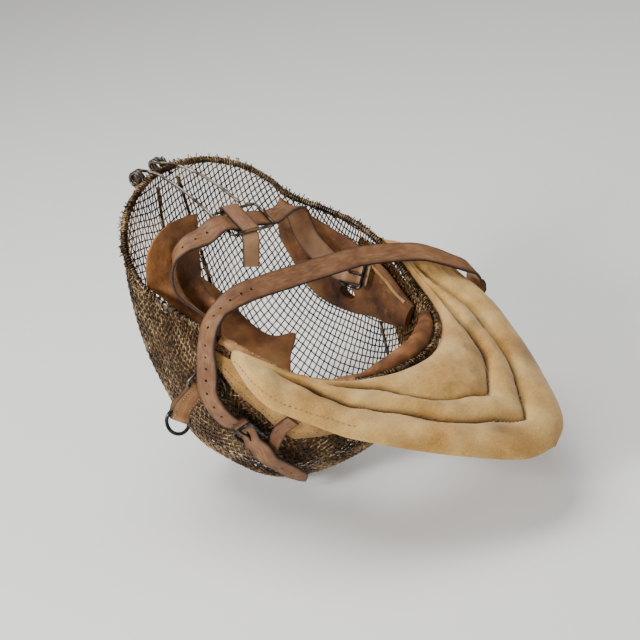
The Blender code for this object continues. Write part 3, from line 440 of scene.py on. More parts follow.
def blackened_steel():
    """Forge-blackened buckle steel: near black and satin, worn to grey where it is handled."""
    made, tree, shader = blank_material("blackened_steel", Metallic=0.8)
    place = add(tree, "ShaderNodeTexCoord").outputs["Object"]
    wear = add(tree, "ShaderNodeTexNoise", {"Vector": place, "Scale": 260.0, "Detail": 6.0}).outputs["Fac"]
    colour = ramp(tree, wear, ((0.42, "#1B1B1D"), (0.58, "#3A3A3C"), (0.72, "#77746F")))
    tree.links.new(colour, shader.inputs["Base Color"])
    rough = add(tree, "ShaderNodeMapRange", {0: wear, 1: 0.3, 2: 0.7, 3: 0.58, 4: 0.34}).outputs[0]
    tree.links.new(rough, shader.inputs["Roughness"])
    bump = add(tree, "ShaderNodeBump", {"Strength": 0.3, "Distance": 0.0002, "Height": wear})
    tree.links.new(bump.outputs[0], shader.inputs["Normal"])
    return made


def strap_leather(name, dark, middle, light, edge):
    """Vegetable-tanned strap leather: a fine grain, long handling marks, and edges burnished dark."""
    made, tree, shader = blank_material(name, Specular_IOR_Level=0.4)
    place = add(tree, "ShaderNodeTexCoord").outputs["Object"]
    flow = add(tree, "ShaderNodeUVMap", uv_map="run").outputs[0]
    drawn = add(tree, "ShaderNodeMapping", {0: flow, 3: (110.0, 520.0, 1.0)}).outputs[0]
    marks = add(tree, "ShaderNodeTexNoise", {"Vector": drawn, "Scale": 1.0, "Detail": 5.0}).outputs["Fac"]
    patches = add(tree, "ShaderNodeTexNoise", {"Vector": place, "Scale": 55.0, "Detail": 3.0}).outputs["Fac"]
    both = add(tree, "ShaderNodeMath", {0: marks, 1: patches}, operation="ADD").outputs[0]
    half = add(tree, "ShaderNodeMath", {0: both, 1: 0.5}, operation="MULTIPLY").outputs[0]
    grain_side = ramp(tree, half, ((0.30, dark), (0.50, middle), (0.70, light)))
    rim = add(tree, "ShaderNodeAttribute", attribute_name="edge").outputs["Fac"]
    burnt = add(tree, "ShaderNodeMix", {0: rim, 6: grain_side, 7: tone(edge)}, data_type="RGBA").outputs[2]
    flesh = add(tree, "ShaderNodeAttribute", attribute_name="flesh").outputs["Fac"]
    nap = ramp(tree, patches, ((0.3, "#8E6545"), (0.6, "#B58B65")))
    colour = add(tree, "ShaderNodeMix", {0: flesh, 6: burnt, 7: nap}, data_type="RGBA").outputs[2]
    tree.links.new(colour, shader.inputs["Base Color"])
    rough = add(tree, "ShaderNodeMapRange", {0: half, 1: 0.3, 2: 0.7, 3: 0.66, 4: 0.46}).outputs[0]
    tree.links.new(rough, shader.inputs["Roughness"])
    pores = add(tree, "ShaderNodeTexVoronoi", {"Vector": place, "Scale": 1100.0}).outputs["Distance"]
    deep = add(tree, "ShaderNodeMath", {0: pores, 1: marks}, operation="ADD").outputs[0]
    bump = add(tree, "ShaderNodeBump", {"Strength": 0.35, "Distance": 0.0003, "Height": deep})
    tree.links.new(bump.outputs[0], shader.inputs["Normal"])
    return made


def pad_leather():
    """Soft upholstery leather, orange-brown, scuffed pale on its folds, and darkened by its stain-and-shade mark: sweat
    stains in places, painted shade in hollows and on shaded parts.
    """
    made, tree, shader = blank_material("pad_leather_hide", Specular_IOR_Level=0.35)
    place = add(tree, "ShaderNodeTexCoord").outputs["Object"]
    stains = add(tree, "ShaderNodeTexNoise", {"Vector": place, "Scale": 26.0, "Detail": 5.0}).outputs["Fac"]
    scuffs = add(tree, "ShaderNodeTexNoise", {"Vector": place, "Scale": 95.0, "Detail": 9.0, "Roughness": 0.72}).outputs["Fac"]
    base = ramp(tree, stains, ((0.30, "#42260F"), (0.44, "#784A22"), (0.58, "#9A6636"), (0.76, "#B5844E")))
    worn = add(tree, "ShaderNodeMapRange", {0: scuffs, 1: 0.50, 2: 0.86, 3: 0.0, 4: 0.60}).outputs[0]
    rubbed = add(tree, "ShaderNodeMix", {0: worn, 6: base, 7: tone("#C08A5C")}, data_type="RGBA").outputs[2]
    # Mixed towards #3E1D10, a shade brown: painted shade where the mark stands for shadow, sweat stains where it is
    # random.
    shade = add(tree, "ShaderNodeAttribute", attribute_name="stain_and_shade").outputs["Fac"]
    colour = add(tree, "ShaderNodeMix", {0: shade, 6: rubbed, 7: tone("#3E1D10")}, data_type="RGBA").outputs[2]
    tree.links.new(colour, shader.inputs["Base Color"])
    rough = add(tree, "ShaderNodeMapRange", {0: scuffs, 1: 0.3, 2: 0.7, 3: 0.48, 4: 0.72}).outputs[0]
    tree.links.new(rough, shader.inputs["Roughness"])
    grain = add(tree, "ShaderNodeTexVoronoi", {"Vector": place, "Scale": 620.0}, feature="F2").outputs["Distance"]
    creases = add(tree, "ShaderNodeTexNoise", {"Vector": place, "Scale": 130.0, "Detail": 8.0, "Roughness": 0.65})
    deep = add(tree, "ShaderNodeMath", {0: creases.outputs["Fac"], 1: 2.2, 2: grain}, operation="MULTIPLY_ADD").outputs[0]
    bump = add(tree, "ShaderNodeBump", {"Strength": 0.45, "Distance": 0.0006, "Height": deep})
    tree.links.new(bump.outputs[0], shader.inputs["Normal"])
    return made


def canvas(name, dark, middle, light):
    """Plain-woven cotton canvas: threads 0.8 mm apart, drawn a little coarse so that they show, with old stains, and
    painted shade in its seam grooves and on shaded sides.
    """
    made, tree, shader = blank_material(name, Roughness=0.92, Specular_IOR_Level=0.15, Sheen_Weight=0.25, Sheen_Roughness=0.5)
    place = add(tree, "ShaderNodeTexCoord").outputs["Object"]
    cloth = add(tree, "ShaderNodeUVMap", uv_map="run").outputs[0]
    threads = 2 * math.pi / 0.0008 / 20
    warp = add(tree, "ShaderNodeTexWave", {"Vector": cloth, "Scale": threads, "Distortion": 1.2, "Detail": 2.0},
               bands_direction="X").outputs["Fac"]
    weft = add(tree, "ShaderNodeTexWave", {"Vector": cloth, "Scale": threads, "Distortion": 1.2, "Detail": 2.0},
               bands_direction="Y").outputs["Fac"]
    weave = add(tree, "ShaderNodeMath", {0: warp, 1: weft}, operation="ADD").outputs[0]
    age = add(tree, "ShaderNodeTexNoise", {"Vector": place, "Scale": 24.0, "Detail": 6.0, "Roughness": 0.6}).outputs["Fac"]
    slubs = add(tree, "ShaderNodeTexNoise", {"Vector": place, "Scale": 700.0, "Detail": 3.0}).outputs["Fac"]
    mottled = add(tree, "ShaderNodeMath", {0: slubs, 1: 0.35, 2: age}, operation="MULTIPLY_ADD").outputs[0]
    base = ramp(tree, mottled, ((0.46, dark), (0.62, middle), (0.80, light)))
    # The stain-and-shade mark mixes in dark brown: grime stains, and painted shade on shaded sides such as the bib's
    # underside.
    grime_and_shade = add(tree, "ShaderNodeAttribute", attribute_name="stain_and_shade").outputs["Fac"]
    soiled_and_shaded = add(tree, "ShaderNodeMix", {0: grime_and_shade, 6: base, 7: tone("#4A3320")}, data_type="RGBA").outputs[2]
    # Painted shade: the seam grooves are coloured near black, for the shadow that falls in them.
    seam = add(tree, "ShaderNodeAttribute", attribute_name="seam").outputs["Fac"]
    colour = add(tree, "ShaderNodeMix", {0: seam, 6: soiled_and_shaded, 7: tone("#2A1B10")}, data_type="RGBA").outputs[2]
    tree.links.new(colour, shader.inputs["Base Color"])
    cockle = add(tree, "ShaderNodeTexNoise", {"Vector": place, "Scale": 90.0, "Detail": 4.0}).outputs["Fac"]
    fine = add(tree, "ShaderNodeBump", {"Strength": 0.30, "Distance": 0.0003, "Height": weave}).outputs[0]
    bump = add(tree, "ShaderNodeBump", {"Strength": 0.35, "Distance": 0.0016, "Height": cockle, "Normal": fine})
    tree.links.new(bump.outputs[0], shader.inputs["Normal"])
    return made


def linen_thread():
    """Waxed linen sewing thread, twisted, gone brown."""
    made, tree, shader = blank_material("linen_thread", Roughness=0.8)
    place = add(tree, "ShaderNodeTexCoord").outputs["Object"]
    twist = add(tree, "ShaderNodeTexNoise", {"Vector": place, "Scale": 900.0}).outputs["Fac"]
    tree.links.new(ramp(tree, twist, ((0.35, "#5A4028"), (0.65, "#B99A6C"))), shader.inputs["Base Color"])
    bump = add(tree, "ShaderNodeBump", {"Strength": 0.4, "Distance": 0.0002, "Height": twist})
    tree.links.new(bump.outputs[0], shader.inputs["Normal"])
    return made


FINISH = {
    "oxidised_wire": oxidised_wire(),
    "spring_wire": spring_steel(),
    "black_steel": blackened_steel(),
    "strap_leather": strap_leather("bridle_leather", "#54341E", "#7A5233", "#96704C", "#2E1B10"),
    "keeper_leather": strap_leather("keeper_leather", "#5C3D28", "#7A5439", "#90694C", "#382114"),
    "tab_leather": strap_leather("tab_leather", "#6C4728", "#98693D", "#B58653", "#462B15"),
    "pad_leather": pad_leather(),
    "canvas": canvas("quilted_canvas", "#A1753A", "#BB8F4E", "#CDA868"),
    "band_canvas": canvas("band_canvas", "#74501F", "#9A7038", "#B68C50"),
    # The lining's colours are kept dark as painted shade in the hollow behind the mesh.
    "lining_canvas": canvas("lining_canvas", "#35240F", "#563B1B", "#80602F"),
    "thread": linen_thread(),
}


def keep(made, finish, stands_for=()):
    """One finished piece: its material, its body and the nodes that it stands for."""
    if not made.data.materials:
        made.data.materials.append(FINISH[finish])
    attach(made, "root")
    if stands_for:
        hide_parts(*stands_for)
    return made


def new_mesh(name, points, faces, uv=None, marks=None, smooth_angle=50):
    """A mesh of the room from points in the mask, with its cloth coordinates and named values on its points."""
    mesh = bpy.data.meshes.new(name)
    mesh.from_pydata(laid(points).tolist(), [], [tuple(int(i) for i in f) for f in faces])
    if uv is not None:
        layer = mesh.uv_layers.new(name="run")
        corner = np.empty(len(mesh.loops), np.int32)
        mesh.loops.foreach_get("vertex_index", corner)
        layer.data.foreach_set("uv", np.asarray(uv, np.float32)[corner].ravel())
    for label, values in (marks or {}).items():
        mesh.attributes.new(label, "FLOAT", "POINT").data.foreach_set("value", np.asarray(values, np.float32))
    build = bmesh.new()
    build.from_mesh(mesh)
    bmesh.ops.recalc_face_normals(build, faces=build.faces)
    build.to_mesh(mesh)
    build.free()
    mesh.shade_smooth()
    mesh.set_sharp_from_angle(angle=math.radians(smooth_angle))
    made = bpy.data.objects.new(name, mesh)
    bpy.context.scene.collection.objects.link(made)
    return made


def plan(name, **sizes):
    """An empty Geometry Nodes tree with named inputs for its sizes, its first node and its last."""
    tree = bpy.data.node_groups.new(name, "GeometryNodeTree")
    tree.interface.new_socket("Geometry", in_out="INPUT", socket_type="NodeSocketGeometry")
    for label, value in sizes.items():
        kind = "NodeSocketInt" if isinstance(value, int) else "NodeSocketFloat"
        if isinstance(value, tuple):
            kind = "NodeSocketVector"
        tree.interface.new_socket(label.replace("_", " "), in_out="INPUT", socket_type=kind).default_value = value
    tree.interface.new_socket("Geometry", in_out="OUTPUT", socket_type="NodeSocketGeometry")
    return tree, tree.nodes.new("NodeGroupInput"), tree.nodes.new("NodeGroupOutput")


def close_plan(tree, end, geometry, finish):
    """Ends a tree in smooth, real and painted geometry."""
    soft = add(tree, "GeometryNodeSetShadeSmooth", {"Geometry": geometry}).outputs[0]
    real = add(tree, "GeometryNodeRealizeInstances", {"Geometry": soft}).outputs[0]
    painted = add(tree, "GeometryNodeSetMaterial", {"Geometry": real, "Material": FINISH[finish]}).outputs[0]
    tree.links.new(painted, end.inputs[0])


def grown(name, seed, tree, **sizes):
    """The plain mesh that a tree makes from a seed mesh, with the sizes given by name."""
    holder = bpy.data.objects.new(name, seed)
    bpy.context.scene.collection.objects.link(holder)
    modifier = holder.modifiers.new("grow", "NODES")
    modifier.node_group = tree
    for item in tree.interface.items_tree:
        if item.item_type == "SOCKET" and item.in_out == "INPUT":
            label = item.name.replace(" ", "_")
            if label in sizes:
                modifier[item.identifier] = sizes[label]
    bpy.context.view_layer.update()
    graph = bpy.context.evaluated_depsgraph_get()
    mesh = bpy.data.meshes.new_from_object(holder.evaluated_get(graph), depsgraph=graph)
    holder.modifiers.clear()
    holder.data = mesh
    bpy.data.meshes.remove(seed)
    mesh.name = name
    return holder


def drawn_wire(finish):
    """Wire drawn along each run of edges, pushed along its own lift where it crosses over or under another."""
    tree, start, end = plan("drawn_wire_" + finish, Wire_radius=0.0005, Lift=0.0, Sides=6)
    push = add(tree, "GeometryNodeInputNamedAttribute", {"Name": "lift"}, data_type="FLOAT_VECTOR").outputs[0]
    shift = add(tree, "ShaderNodeVectorMath", {0: push, "Scale": start.outputs["Lift"]}, operation="SCALE").outputs[0]
    placed = add(tree, "GeometryNodeSetPosition", {"Geometry": start.outputs["Geometry"], "Offset": shift}).outputs[0]
    run = add(tree, "GeometryNodeMeshToCurve", {"Mesh": placed}).outputs[0]
    round_wire = add(
        tree, "GeometryNodeCurvePrimitiveCircle", {"Resolution": start.outputs["Sides"], "Radius": start.outputs["Wire radius"]},
    ).outputs[0]
    swept = add(tree, "GeometryNodeCurveToMesh", {"Curve": run, "Profile Curve": round_wire, "Fill Caps": True}).outputs[0]
    close_plan(tree, end, swept, finish)
    return tree


def sewn_stitches(finish):
    """A stitch on each point, long way along the seam and flat on the cloth or leather."""
    tree, start, end = plan("sewn_stitches_" + finish, Stitch_length=0.003, Thread=0.0004)
    along = add(tree, "GeometryNodeInputNamedAttribute", {"Name": "along"}, data_type="FLOAT_VECTOR").outputs[0]
    face = add(tree, "GeometryNodeInputNamedAttribute", {"Name": "face"}, data_type="FLOAT_VECTOR").outputs[0]
    turn = add(tree, "FunctionNodeAlignRotationToVector", {"Vector": along}, axis="X").outputs[0]
    turn = add(tree, "FunctionNodeAlignRotationToVector", {"Rotation": turn, "Vector": face}, axis="Z", pivot_axis="X").outputs[0]
    bead = add(tree, "GeometryNodeMeshIcoSphere", {"Radius": 1.0, "Subdivisions": 1}).outputs[0]
    half = add(tree, "ShaderNodeMath", {0: start.outputs["Stitch length"], 1: 0.5}, operation="MULTIPLY").outputs[0]
    size = add(tree, "ShaderNodeCombineXYZ", {0: half, 1: start.outputs["Thread"], 2: start.outputs["Thread"]}).outputs[0]
    stitch = add(tree, "GeometryNodeTransform", {"Geometry": bead, "Scale": size}).outputs[0]
    points = add(tree, "GeometryNodeMeshToPoints", {"Mesh": start.outputs["Geometry"]}).outputs[0]
    sewn = add(tree, "GeometryNodeInstanceOnPoints", {"Points": points, "Instance": stitch, "Rotation": turn}).outputs[0]
    close_plan(tree, end, sewn, finish)
    return tree


WIRE_PLANS = {name: drawn_wire(name) for name in ("oxidised_wire", "spring_wire", "black_steel")}
STITCH_PLAN = sewn_stitches("thread")


def run_mesh(name, runs, closed=False, lifts=None):
    """A seed of edges through each run of points in the mask, with the way that each point is lifted."""
    points = laid(np.concatenate(runs))
    edges = []
    base = 0
    for run in runs:
        edges += [(base + i, base + i + 1) for i in range(len(run) - 1)]
        if closed:
            edges.append((base + len(run) - 1, base))
        base += len(run)
    mesh = bpy.data.meshes.new(name + "_seed")
    mesh.from_pydata(points.tolist(), edges, [])
    if lifts is not None:
        ways = np.concatenate(lifts) @ TURN.T
        mesh.attributes.new("lift", "FLOAT_VECTOR", "POINT").data.foreach_set("vector", ways.astype(np.float32).ravel())
    return mesh


def wire(name, points, radius, finish, closed=False, sides=10, stands_for=()):
    """One round wire along its points."""
    seed = run_mesh(name, [np.asarray(points)], closed)
    made = grown(name, seed, WIRE_PLANS[finish], Wire_radius=radius, Sides=sides)
    return keep(made, finish, stands_for)


def stitches(name, places, alongs, faces, length=0.003, thread=0.0004):
    """A row of sewn stitches at places in the mask."""
    mesh = bpy.data.meshes.new(name + "_seed")
    mesh.from_pydata(laid(places).tolist(), [], [])
    for label, ways in (("along", alongs), ("face", faces)):
        turned = np.asarray(ways) @ TURN.T
        mesh.attributes.new(label, "FLOAT_VECTOR", "POINT").data.foreach_set("vector", turned.astype(np.float32).ravel())
    made = grown(name, mesh, STITCH_PLAN, Stitch_length=length, Thread=thread)
    return keep(made, "thread")


def spaced(points, pitch, looks=None, start=0.5):
    """Places one pitch apart along a run of points, with the way that the run goes and looks there."""
    points = np.asarray(points, float)
    steps = np.linalg.norm(np.diff(points, axis=0), axis=1)
    length = np.concatenate([[0.0], np.cumsum(steps)])
    spots = np.arange(pitch * start, length[-1], pitch)

    def read(values, where):
        return np.stack([np.interp(where, length, values[:, k]) for k in range(3)], 1)

    place = read(points, spots)
    way = unit(read(points, spots + 0.0006) - read(points, spots - 0.0006))
    if looks is None:
        return place, way
    return place, way, unit(read(np.asarray(looks, float), spots))


def run_length(points):
    """The length from the start of a run of points to each of them."""
    return np.concatenate([[0.0], np.cumsum(np.linalg.norm(np.diff(points, axis=0), axis=1))])


def grid_faces(rows, columns, closed=False):
    """The quads of a grid of points, row by row."""
    i, k = np.meshgrid(np.arange(rows - 1), np.arange(columns if closed else columns - 1), indexing="ij")
    near = i * columns
    after = (k + 1) % columns
    return np.stack([near + k, near + after, near + columns + after, near + columns + k], -1).reshape(-1, 4)


def loft(name, rings, uv=None, marks=None, closed=False, smooth_angle=50):
    """A skin over rings of points, capped at its ends unless it closes on itself."""
    rings = np.asarray(rings, float)
    rows, columns = rings.shape[:2]
    faces = (grid_faces(rows + (1 if closed else 0), columns, closed=True) % (rows * columns)).tolist()
    if not closed:
        faces.append(list(range(columns)))
        faces.append([(rows - 1) * columns + k for k in range(columns)])
    flat_uv = None if uv is None else np.asarray(uv).reshape(-1, 2)
    flat_marks = {label: np.asarray(values).reshape(-1) for label, values in (marks or {}).items()}
    return new_mesh(name, rings.reshape(-1, 3), faces, flat_uv, flat_marks, smooth_angle)


def slab(name, low, high, uv=None, marks=None, smooth_angle=50):
    """A piece between two grids of points, closed round its border. marks are given once for both grids."""
    low, high = np.asarray(low, float), np.asarray(high, float)
    rows, columns = low.shape[:2]
    count = rows * columns
    faces = grid_faces(rows, columns)
    around = list(range(columns)) + [i * columns + columns - 1 for i in range(1, rows)]
    around += [(rows - 1) * columns + k for k in range(columns - 2, -1, -1)] + [i * columns for i in range(rows - 2, 0, -1)]
    sides = [(a, b, b + count, a + count) for a, b in zip(around, around[1:] + around[:1])]
    every = faces.tolist() + (faces[:, ::-1] + count).tolist() + sides
    points = np.concatenate([low.reshape(-1, 3), high.reshape(-1, 3)])
    flat_uv = None if uv is None else np.tile(np.asarray(uv).reshape(-1, 2), (2, 1))
    flat_marks = {label: np.tile(np.asarray(values).reshape(-1), 2) for label, values in (marks or {}).items()}
    return new_mesh(name, points, every, flat_uv, flat_marks, smooth_angle)


def pierced(made, cutters, sides=20):
    """The piece without what its cutters take: each is a place, three ways in the mask and a half size along each."""
    build = bmesh.new()
    for place, ways, size in cutters:
        axes = Matrix((TURN @ np.stack(ways, 1)).tolist()).to_4x4()
        room = Matrix.Translation(Vector(laid(place))) @ axes @ Matrix.Diagonal((*size, 1.0))
        bmesh.ops.create_cone(build, cap_ends=True, segments=sides, radius1=1.0, radius2=1.0, depth=2.0, matrix=room)
    bmesh.ops.recalc_face_normals(build, faces=build.faces)
    mesh = bpy.data.meshes.new(made.name + "_cutter")
    build.to_mesh(mesh)
    build.free()
    tool = bpy.data.objects.new(mesh.name, mesh)
    bpy.context.scene.collection.objects.link(tool)
    cut = made.modifiers.new("holes", "BOOLEAN")
    cut.object = tool
    cut.operation = "DIFFERENCE"
    cut.solver = "EXACT"
    bpy.context.view_layer.update()
    graph = bpy.context.evaluated_depsgraph_get()
    whole = made.data
    result = bpy.data.meshes.new_from_object(made.evaluated_get(graph), depsgraph=graph)
    made.modifiers.clear()
    made.data = result
    bpy.data.meshes.remove(whole)
    bpy.data.objects.remove(tool)
    bpy.data.meshes.remove(mesh)
    return made


def gauss(points, middle, reach):
    """A soft spot about a place in the mask: 1 at its middle."""
    away = np.linalg.norm(np.asarray(points) - np.asarray(middle), axis=-1)
    return np.exp(-((away / reach) ** 2))


# Where the rim's rod shows between its bindings, in places round the rim
BARE_RIM = (1.47, 1.74)

# The mesh, measured as a flat cloth from its deepest point: the length of each meridian and the places along it
CLOTH_TURNS = np.linspace(0.0, 2.0, 241)
CLOTH_SHARES = np.linspace(0.0, 1.0, 81)


def measured_bowl():
    """Places and outward ways along the bowl's meridians, their lengths, and the bearing of each from the nose."""
    drops = 1.0 - np.linspace(0.0, 1.0, 161) ** 1.5
    places, lengths, bearings = [], [], []
    for turn in CLOTH_TURNS:
        run = np.array([bowl(turn, drop) for drop in drops])
        length = run_length(run)
        lengths.append(length[-1])
        spots = CLOTH_SHARES * length[-1]
        places.append(np.stack([np.interp(spots, length, run[:, k]) for k in range(3)], 1))
        edge = rim_turn(turn)
        bearings.append(math.atan2(edge[0], NOSE_DOWN - edge[2]) % (2 * math.pi))
    places = np.array(places)
    bearings = np.unwrap(bearings)
    bearings[-1] = 2 * math.pi
    aside = np.roll(places[:-1], -1, 0) - np.roll(places[:-1], 1, 0)
    aside = np.concatenate([aside, aside[:1]])
    ahead = np.gradient(places, axis=1)
    ways = unit(np.cross(aside, ahead))
    ways[:, 0] = [0.0, -1.0, 0.0]
    outward = places - np.array([0.0, -0.3 * MESH_DEPTH, NOSE_DOWN])
    ways *= np.where((ways * outward).sum(-1, keepdims=True) < 0, -1.0, 1.0)
    return places, ways, np.array(lengths), bearings


CLOTH_PLACES, CLOTH_WAYS, CLOTH_LENGTHS, CLOTH_BEARINGS = measured_bowl()


def on_cloth(across, up):
    """Places and outward ways on the mesh for places of the flat cloth, and their share of the way to the edge."""
    bearing = np.arctan2(across, up) % (2 * math.pi)
    turn = np.interp(bearing, CLOTH_BEARINGS, CLOTH_TURNS)
    share = np.hypot(across, up) / np.interp(turn, CLOTH_TURNS, CLOTH_LENGTHS)
    row = turn / 2.0 * (len(CLOTH_TURNS) - 1)
    column = np.clip(share, 0.0, 1.0) * (len(CLOTH_SHARES) - 1)
    i = np.clip(row.astype(int), 0, len(CLOTH_TURNS) - 2)
    k = np.clip(column.astype(int), 0, len(CLOTH_SHARES) - 2)
    p, q = (row - i)[:, None], (column - k)[:, None]

    def read(table):
        near = table[i, k] * (1 - q) + table[i, k + 1] * q
        far = table[i + 1, k] * (1 - q) + table[i + 1, k + 1] * q
        return near * (1 - p) + far * p

    return read(CLOTH_PLACES), unit(read(CLOTH_WAYS)), share


def woven_wires(name, upright):
    """One family of the mesh's wires, each over and under those of the other family."""
    reach = CLOTH_LENGTHS.max() + WEAVE_PITCH
    lines = int(reach / WEAVE_PITCH)
    half_steps = np.arange(-2 * lines, 2 * lines + 1)
    runs, lifts = [], []
    for line in range(-lines, lines + 1):
        fixed = np.full(len(half_steps), line * WEAVE_PITCH)
        moving = half_steps * WEAVE_PITCH / 2
        across, up = (fixed, moving) if upright else (moving, fixed)
        bend = np.stack([across, up, np.zeros(len(across))], 1)
        across = across + ripple(bend, 0.09, 21) * WEAVE_PITCH * 0.22
        up = up + ripple(bend, 0.09, 22) * WEAVE_PITCH * 0.22
        places, ways, share = on_cloth(across, up)
        kept = np.flatnonzero(share < 0.992)
        if len(kept) < 4:
            continue
        crossing = (half_steps % 2 == 0).astype(float)
        side = np.where((half_steps // 2 + line) % 2 == 0, 1.0, -1.0) * (1.0 if upright else -1.0)
        push = ways * (crossing * side)[:, None]
        for part in np.split(kept, np.flatnonzero(np.diff(kept) > 1) + 1):
            if len(part) > 3:
                runs.append(places[part])
                lifts.append(push[part])
    seed = run_mesh(name, runs, lifts=lifts)
    made = grown(name, seed, WIRE_PLANS["oxidised_wire"], Wire_radius=WEAVE_WIRE, Lift=WEAVE_LIFT, Sides=5)
    return keep(made, "oxidised_wire", ("mesh_bowl",))


def rim_run(count, start=0.0, end=2.0):
    """Points along the mesh's edge, the way out from the face there and the way back towards the wearer."""
    turns = start + (end - start) * np.arange(count) / count
    points = np.array([rim_turn(turn) for turn in turns])
    after = np.array([rim_turn(turn + 0.002) for turn in turns])
    way = unit(after - points)
    out = points - np.array([0.0, 0.0, NOSE_DOWN])
    out = unit(out - way * (out * way).sum(1, keepdims=True))
    return points, way, out, np.cross(way, out)


def bound_rim():
    """The rim rod, the wire that is wound round it, and the ends of the mesh's wires that stand out of it."""
    points, _, _, _ = rim_run(720)
    wire("rim_rod", points, RIM_RADIUS * 0.78, "spring_wire", closed=True, sides=12, stands_for=("rim_wire",))
    fine, _, out, back = rim_run(9000)
    place = run_length(fine)
    share = np.linspace(0.0, 2.0, len(fine))
    bare = (share > BARE_RIM[0]) & (share < BARE_RIM[1])
    cluster = (place % 0.0062) < 0.0020
    rate = np.where(bare, np.where(cluster, 1 / 0.00115, 1 / 0.011), 1 / 0.0021)
    rate = rate * (1 + 0.18 * ripple(fine, 0.020, 31))
    angle = np.concatenate([[0.0], np.cumsum(np.diff(place) * rate[1:])]) * 2 * math.pi
    keep_at = np.unique(np.searchsorted(angle, np.arange(0.0, angle[-1], 2 * math.pi / 9)))
    keep_at = keep_at[keep_at < len(fine)]
    reach = RIM_RADIUS * (1.02 + 0.10 * ripple(fine, 0.006, 32))
    wound = fine + (out * np.cos(angle)[:, None] + back * np.sin(angle)[:, None]) * reach[:, None]
    wire("rim_winding", wound[keep_at], 0.00058, "oxidised_wire", sides=5)
    random = np.random.default_rng(33)
    spots = np.sort(random.uniform(0.0, 2.0, 560))
    wanted = (spots < 0.60) | (spots > 1.62)
    runs = []
    for turn in spots[wanted]:
        base = rim_turn(turn)
        ahead = unit(rim_turn(turn + 0.003) - base)
        away = unit(base - np.array([0.0, 0.0, NOSE_DOWN]))
        lean = unit(away + ahead * random.uniform(-0.7, 0.7) + np.array([0.0, random.uniform(-0.8, 0.8), 0.0]))
        length = random.uniform(0.0014, 0.0036)
        curl = ahead * random.uniform(-0.4, 0.4) * length
        runs.append(np.array([base + lean * RIM_RADIUS * 0.7, base + lean * (RIM_RADIUS + length * 0.6),
                              base + lean * (RIM_RADIUS + length) + curl]))
    seed = run_mesh("rim_ends", runs)
    keep(grown("rim_ends", seed, WIRE_PLANS["oxidised_wire"], Wire_radius=0.00048, Sides=5), "oxidised_wire")


def rim_edging():
    """The leather edging sewn over the near rim, between the neck strap and the bib."""
    points = rim_run(64, 1.15, 1.45)[0]
    sleeve = RIM_RADIUS + WEAVE_WIRE + 0.0006
    soft_cord("rim_edging_leather", points, sleeve, "tab_leather")
    back = np.tile([0.0, 1.0, 0.0], (len(points), 1))
    place, way, look = spaced(points + back * (sleeve + 0.0002), 0.0050, back)
    stitches("rim_edging_stitches", place, way, look, 0.0028, 0.00045)


def ribs():
    """The two wires inside the brow and the short one in the jaw."""
    inside = -(MESH_WALL / 2 + RIB_RADIUS + GAP + FACET_SAG)
    for name, across_start, across_end in (("brow_rib_left", -0.05, -0.30), ("brow_rib_right", 0.20, 0.42)):
        start, end = turn_near_crown(across_start), turn_near_crown(across_end)
        near = drop_from_edge(start, RIM_RADIUS + RIB_RADIUS + 0.006)
        points = [mesh_at(start + (end - start) * s, near + 0.60 * s, inside) for s in np.linspace(0.0, 1.0, 14)]
        wire(name + "_wire", smooth(points, 4), RIB_RADIUS, "oxidised_wire", stands_for=(name,))
    points = [
        mesh_at(turn_of(1, (0.60 + 0.27 * s) * FACE_DROP), 0.155 + 0.16 * s, inside) for s in np.linspace(0.0, 1.0, 9)
    ]
    wire("jaw_rib_wire", smooth(points, 4), RIB_RADIUS, "spring_wire", stands_for=("jaw_rib",))


def frame_axes():
    """The strap frame at the end of the arms: its middle, and its axes down, across and out."""
    centre = at(-0.020, 0.350, 0.085)
    along = unit(np.array([-0.36, 0.02, 0.93]))
    face = unit(np.cross(along, np.array([0.968, 0.0, 0.30])))
    face = face if face[1] > 0 else -face
    aside = unit(np.cross(face, along))
    aside = aside if aside[0] > 0 else -aside
    return centre, along, aside, face


def spring_arms():
    """Two wires: each has a foot outside the mesh, a coil over the crown and an arm to the strap frame."""
    crown = rim_turn(0.0)
    centre, along, aside, _ = frame_axes()
    clear = 2 * SPRING_RADIUS + 2 * GAP
    ends = {
        -1: centre - aside * (FRAME_SPAN / 2 + clear) - along * FRAME_LENGTH * 0.16,
        1: centre + aside * FRAME_SPAN * 0.21 - along * (FRAME_LENGTH / 2 + 2 * clear),
    }
    back = crown[1] - 0.004
    down = crown[2] - RIM_RADIUS - SPRING_RADIUS - GAP - COIL_RADIUS * 0.9
    for side, name, arm in ((-1, "spring_arm_left", LEFT_ARM), (1, "spring_arm_right", RIGHT_ARM)):
        middle = 0.134 * side * HALF_WIDTH
        outer = middle + side * COIL_PITCH * COIL_TURNS / 2
        beside = turn_near_crown(outer / HALF_WIDTH)
        foot = mesh_at(beside, drop_from_edge(beside, RIM_BAND * 0.8), MESH_WALL / 2 + SPRING_RADIUS + GAP)
        steps = 28
        turns = np.arange(steps * COIL_TURNS + 1) / steps
        angle = 2 * math.pi * turns - math.pi / 2
        coil = np.stack([
            outer - side * COIL_PITCH * turns, back - COIL_RADIUS * np.sin(angle), down + COIL_RADIUS * np.cos(angle),
        ], 1)
        start = np.array([coil[-1][0], back + COIL_RADIUS + 0.0012, down + 0.003])
        bow = smooth(np.array([start] + [at(*row) for row in arm] + [ends[side]]), 12)
        wire(name + "_wire", np.concatenate([[foot], coil, bow]), SPRING_RADIUS, "spring_wire", sides=10, stands_for=(name,))


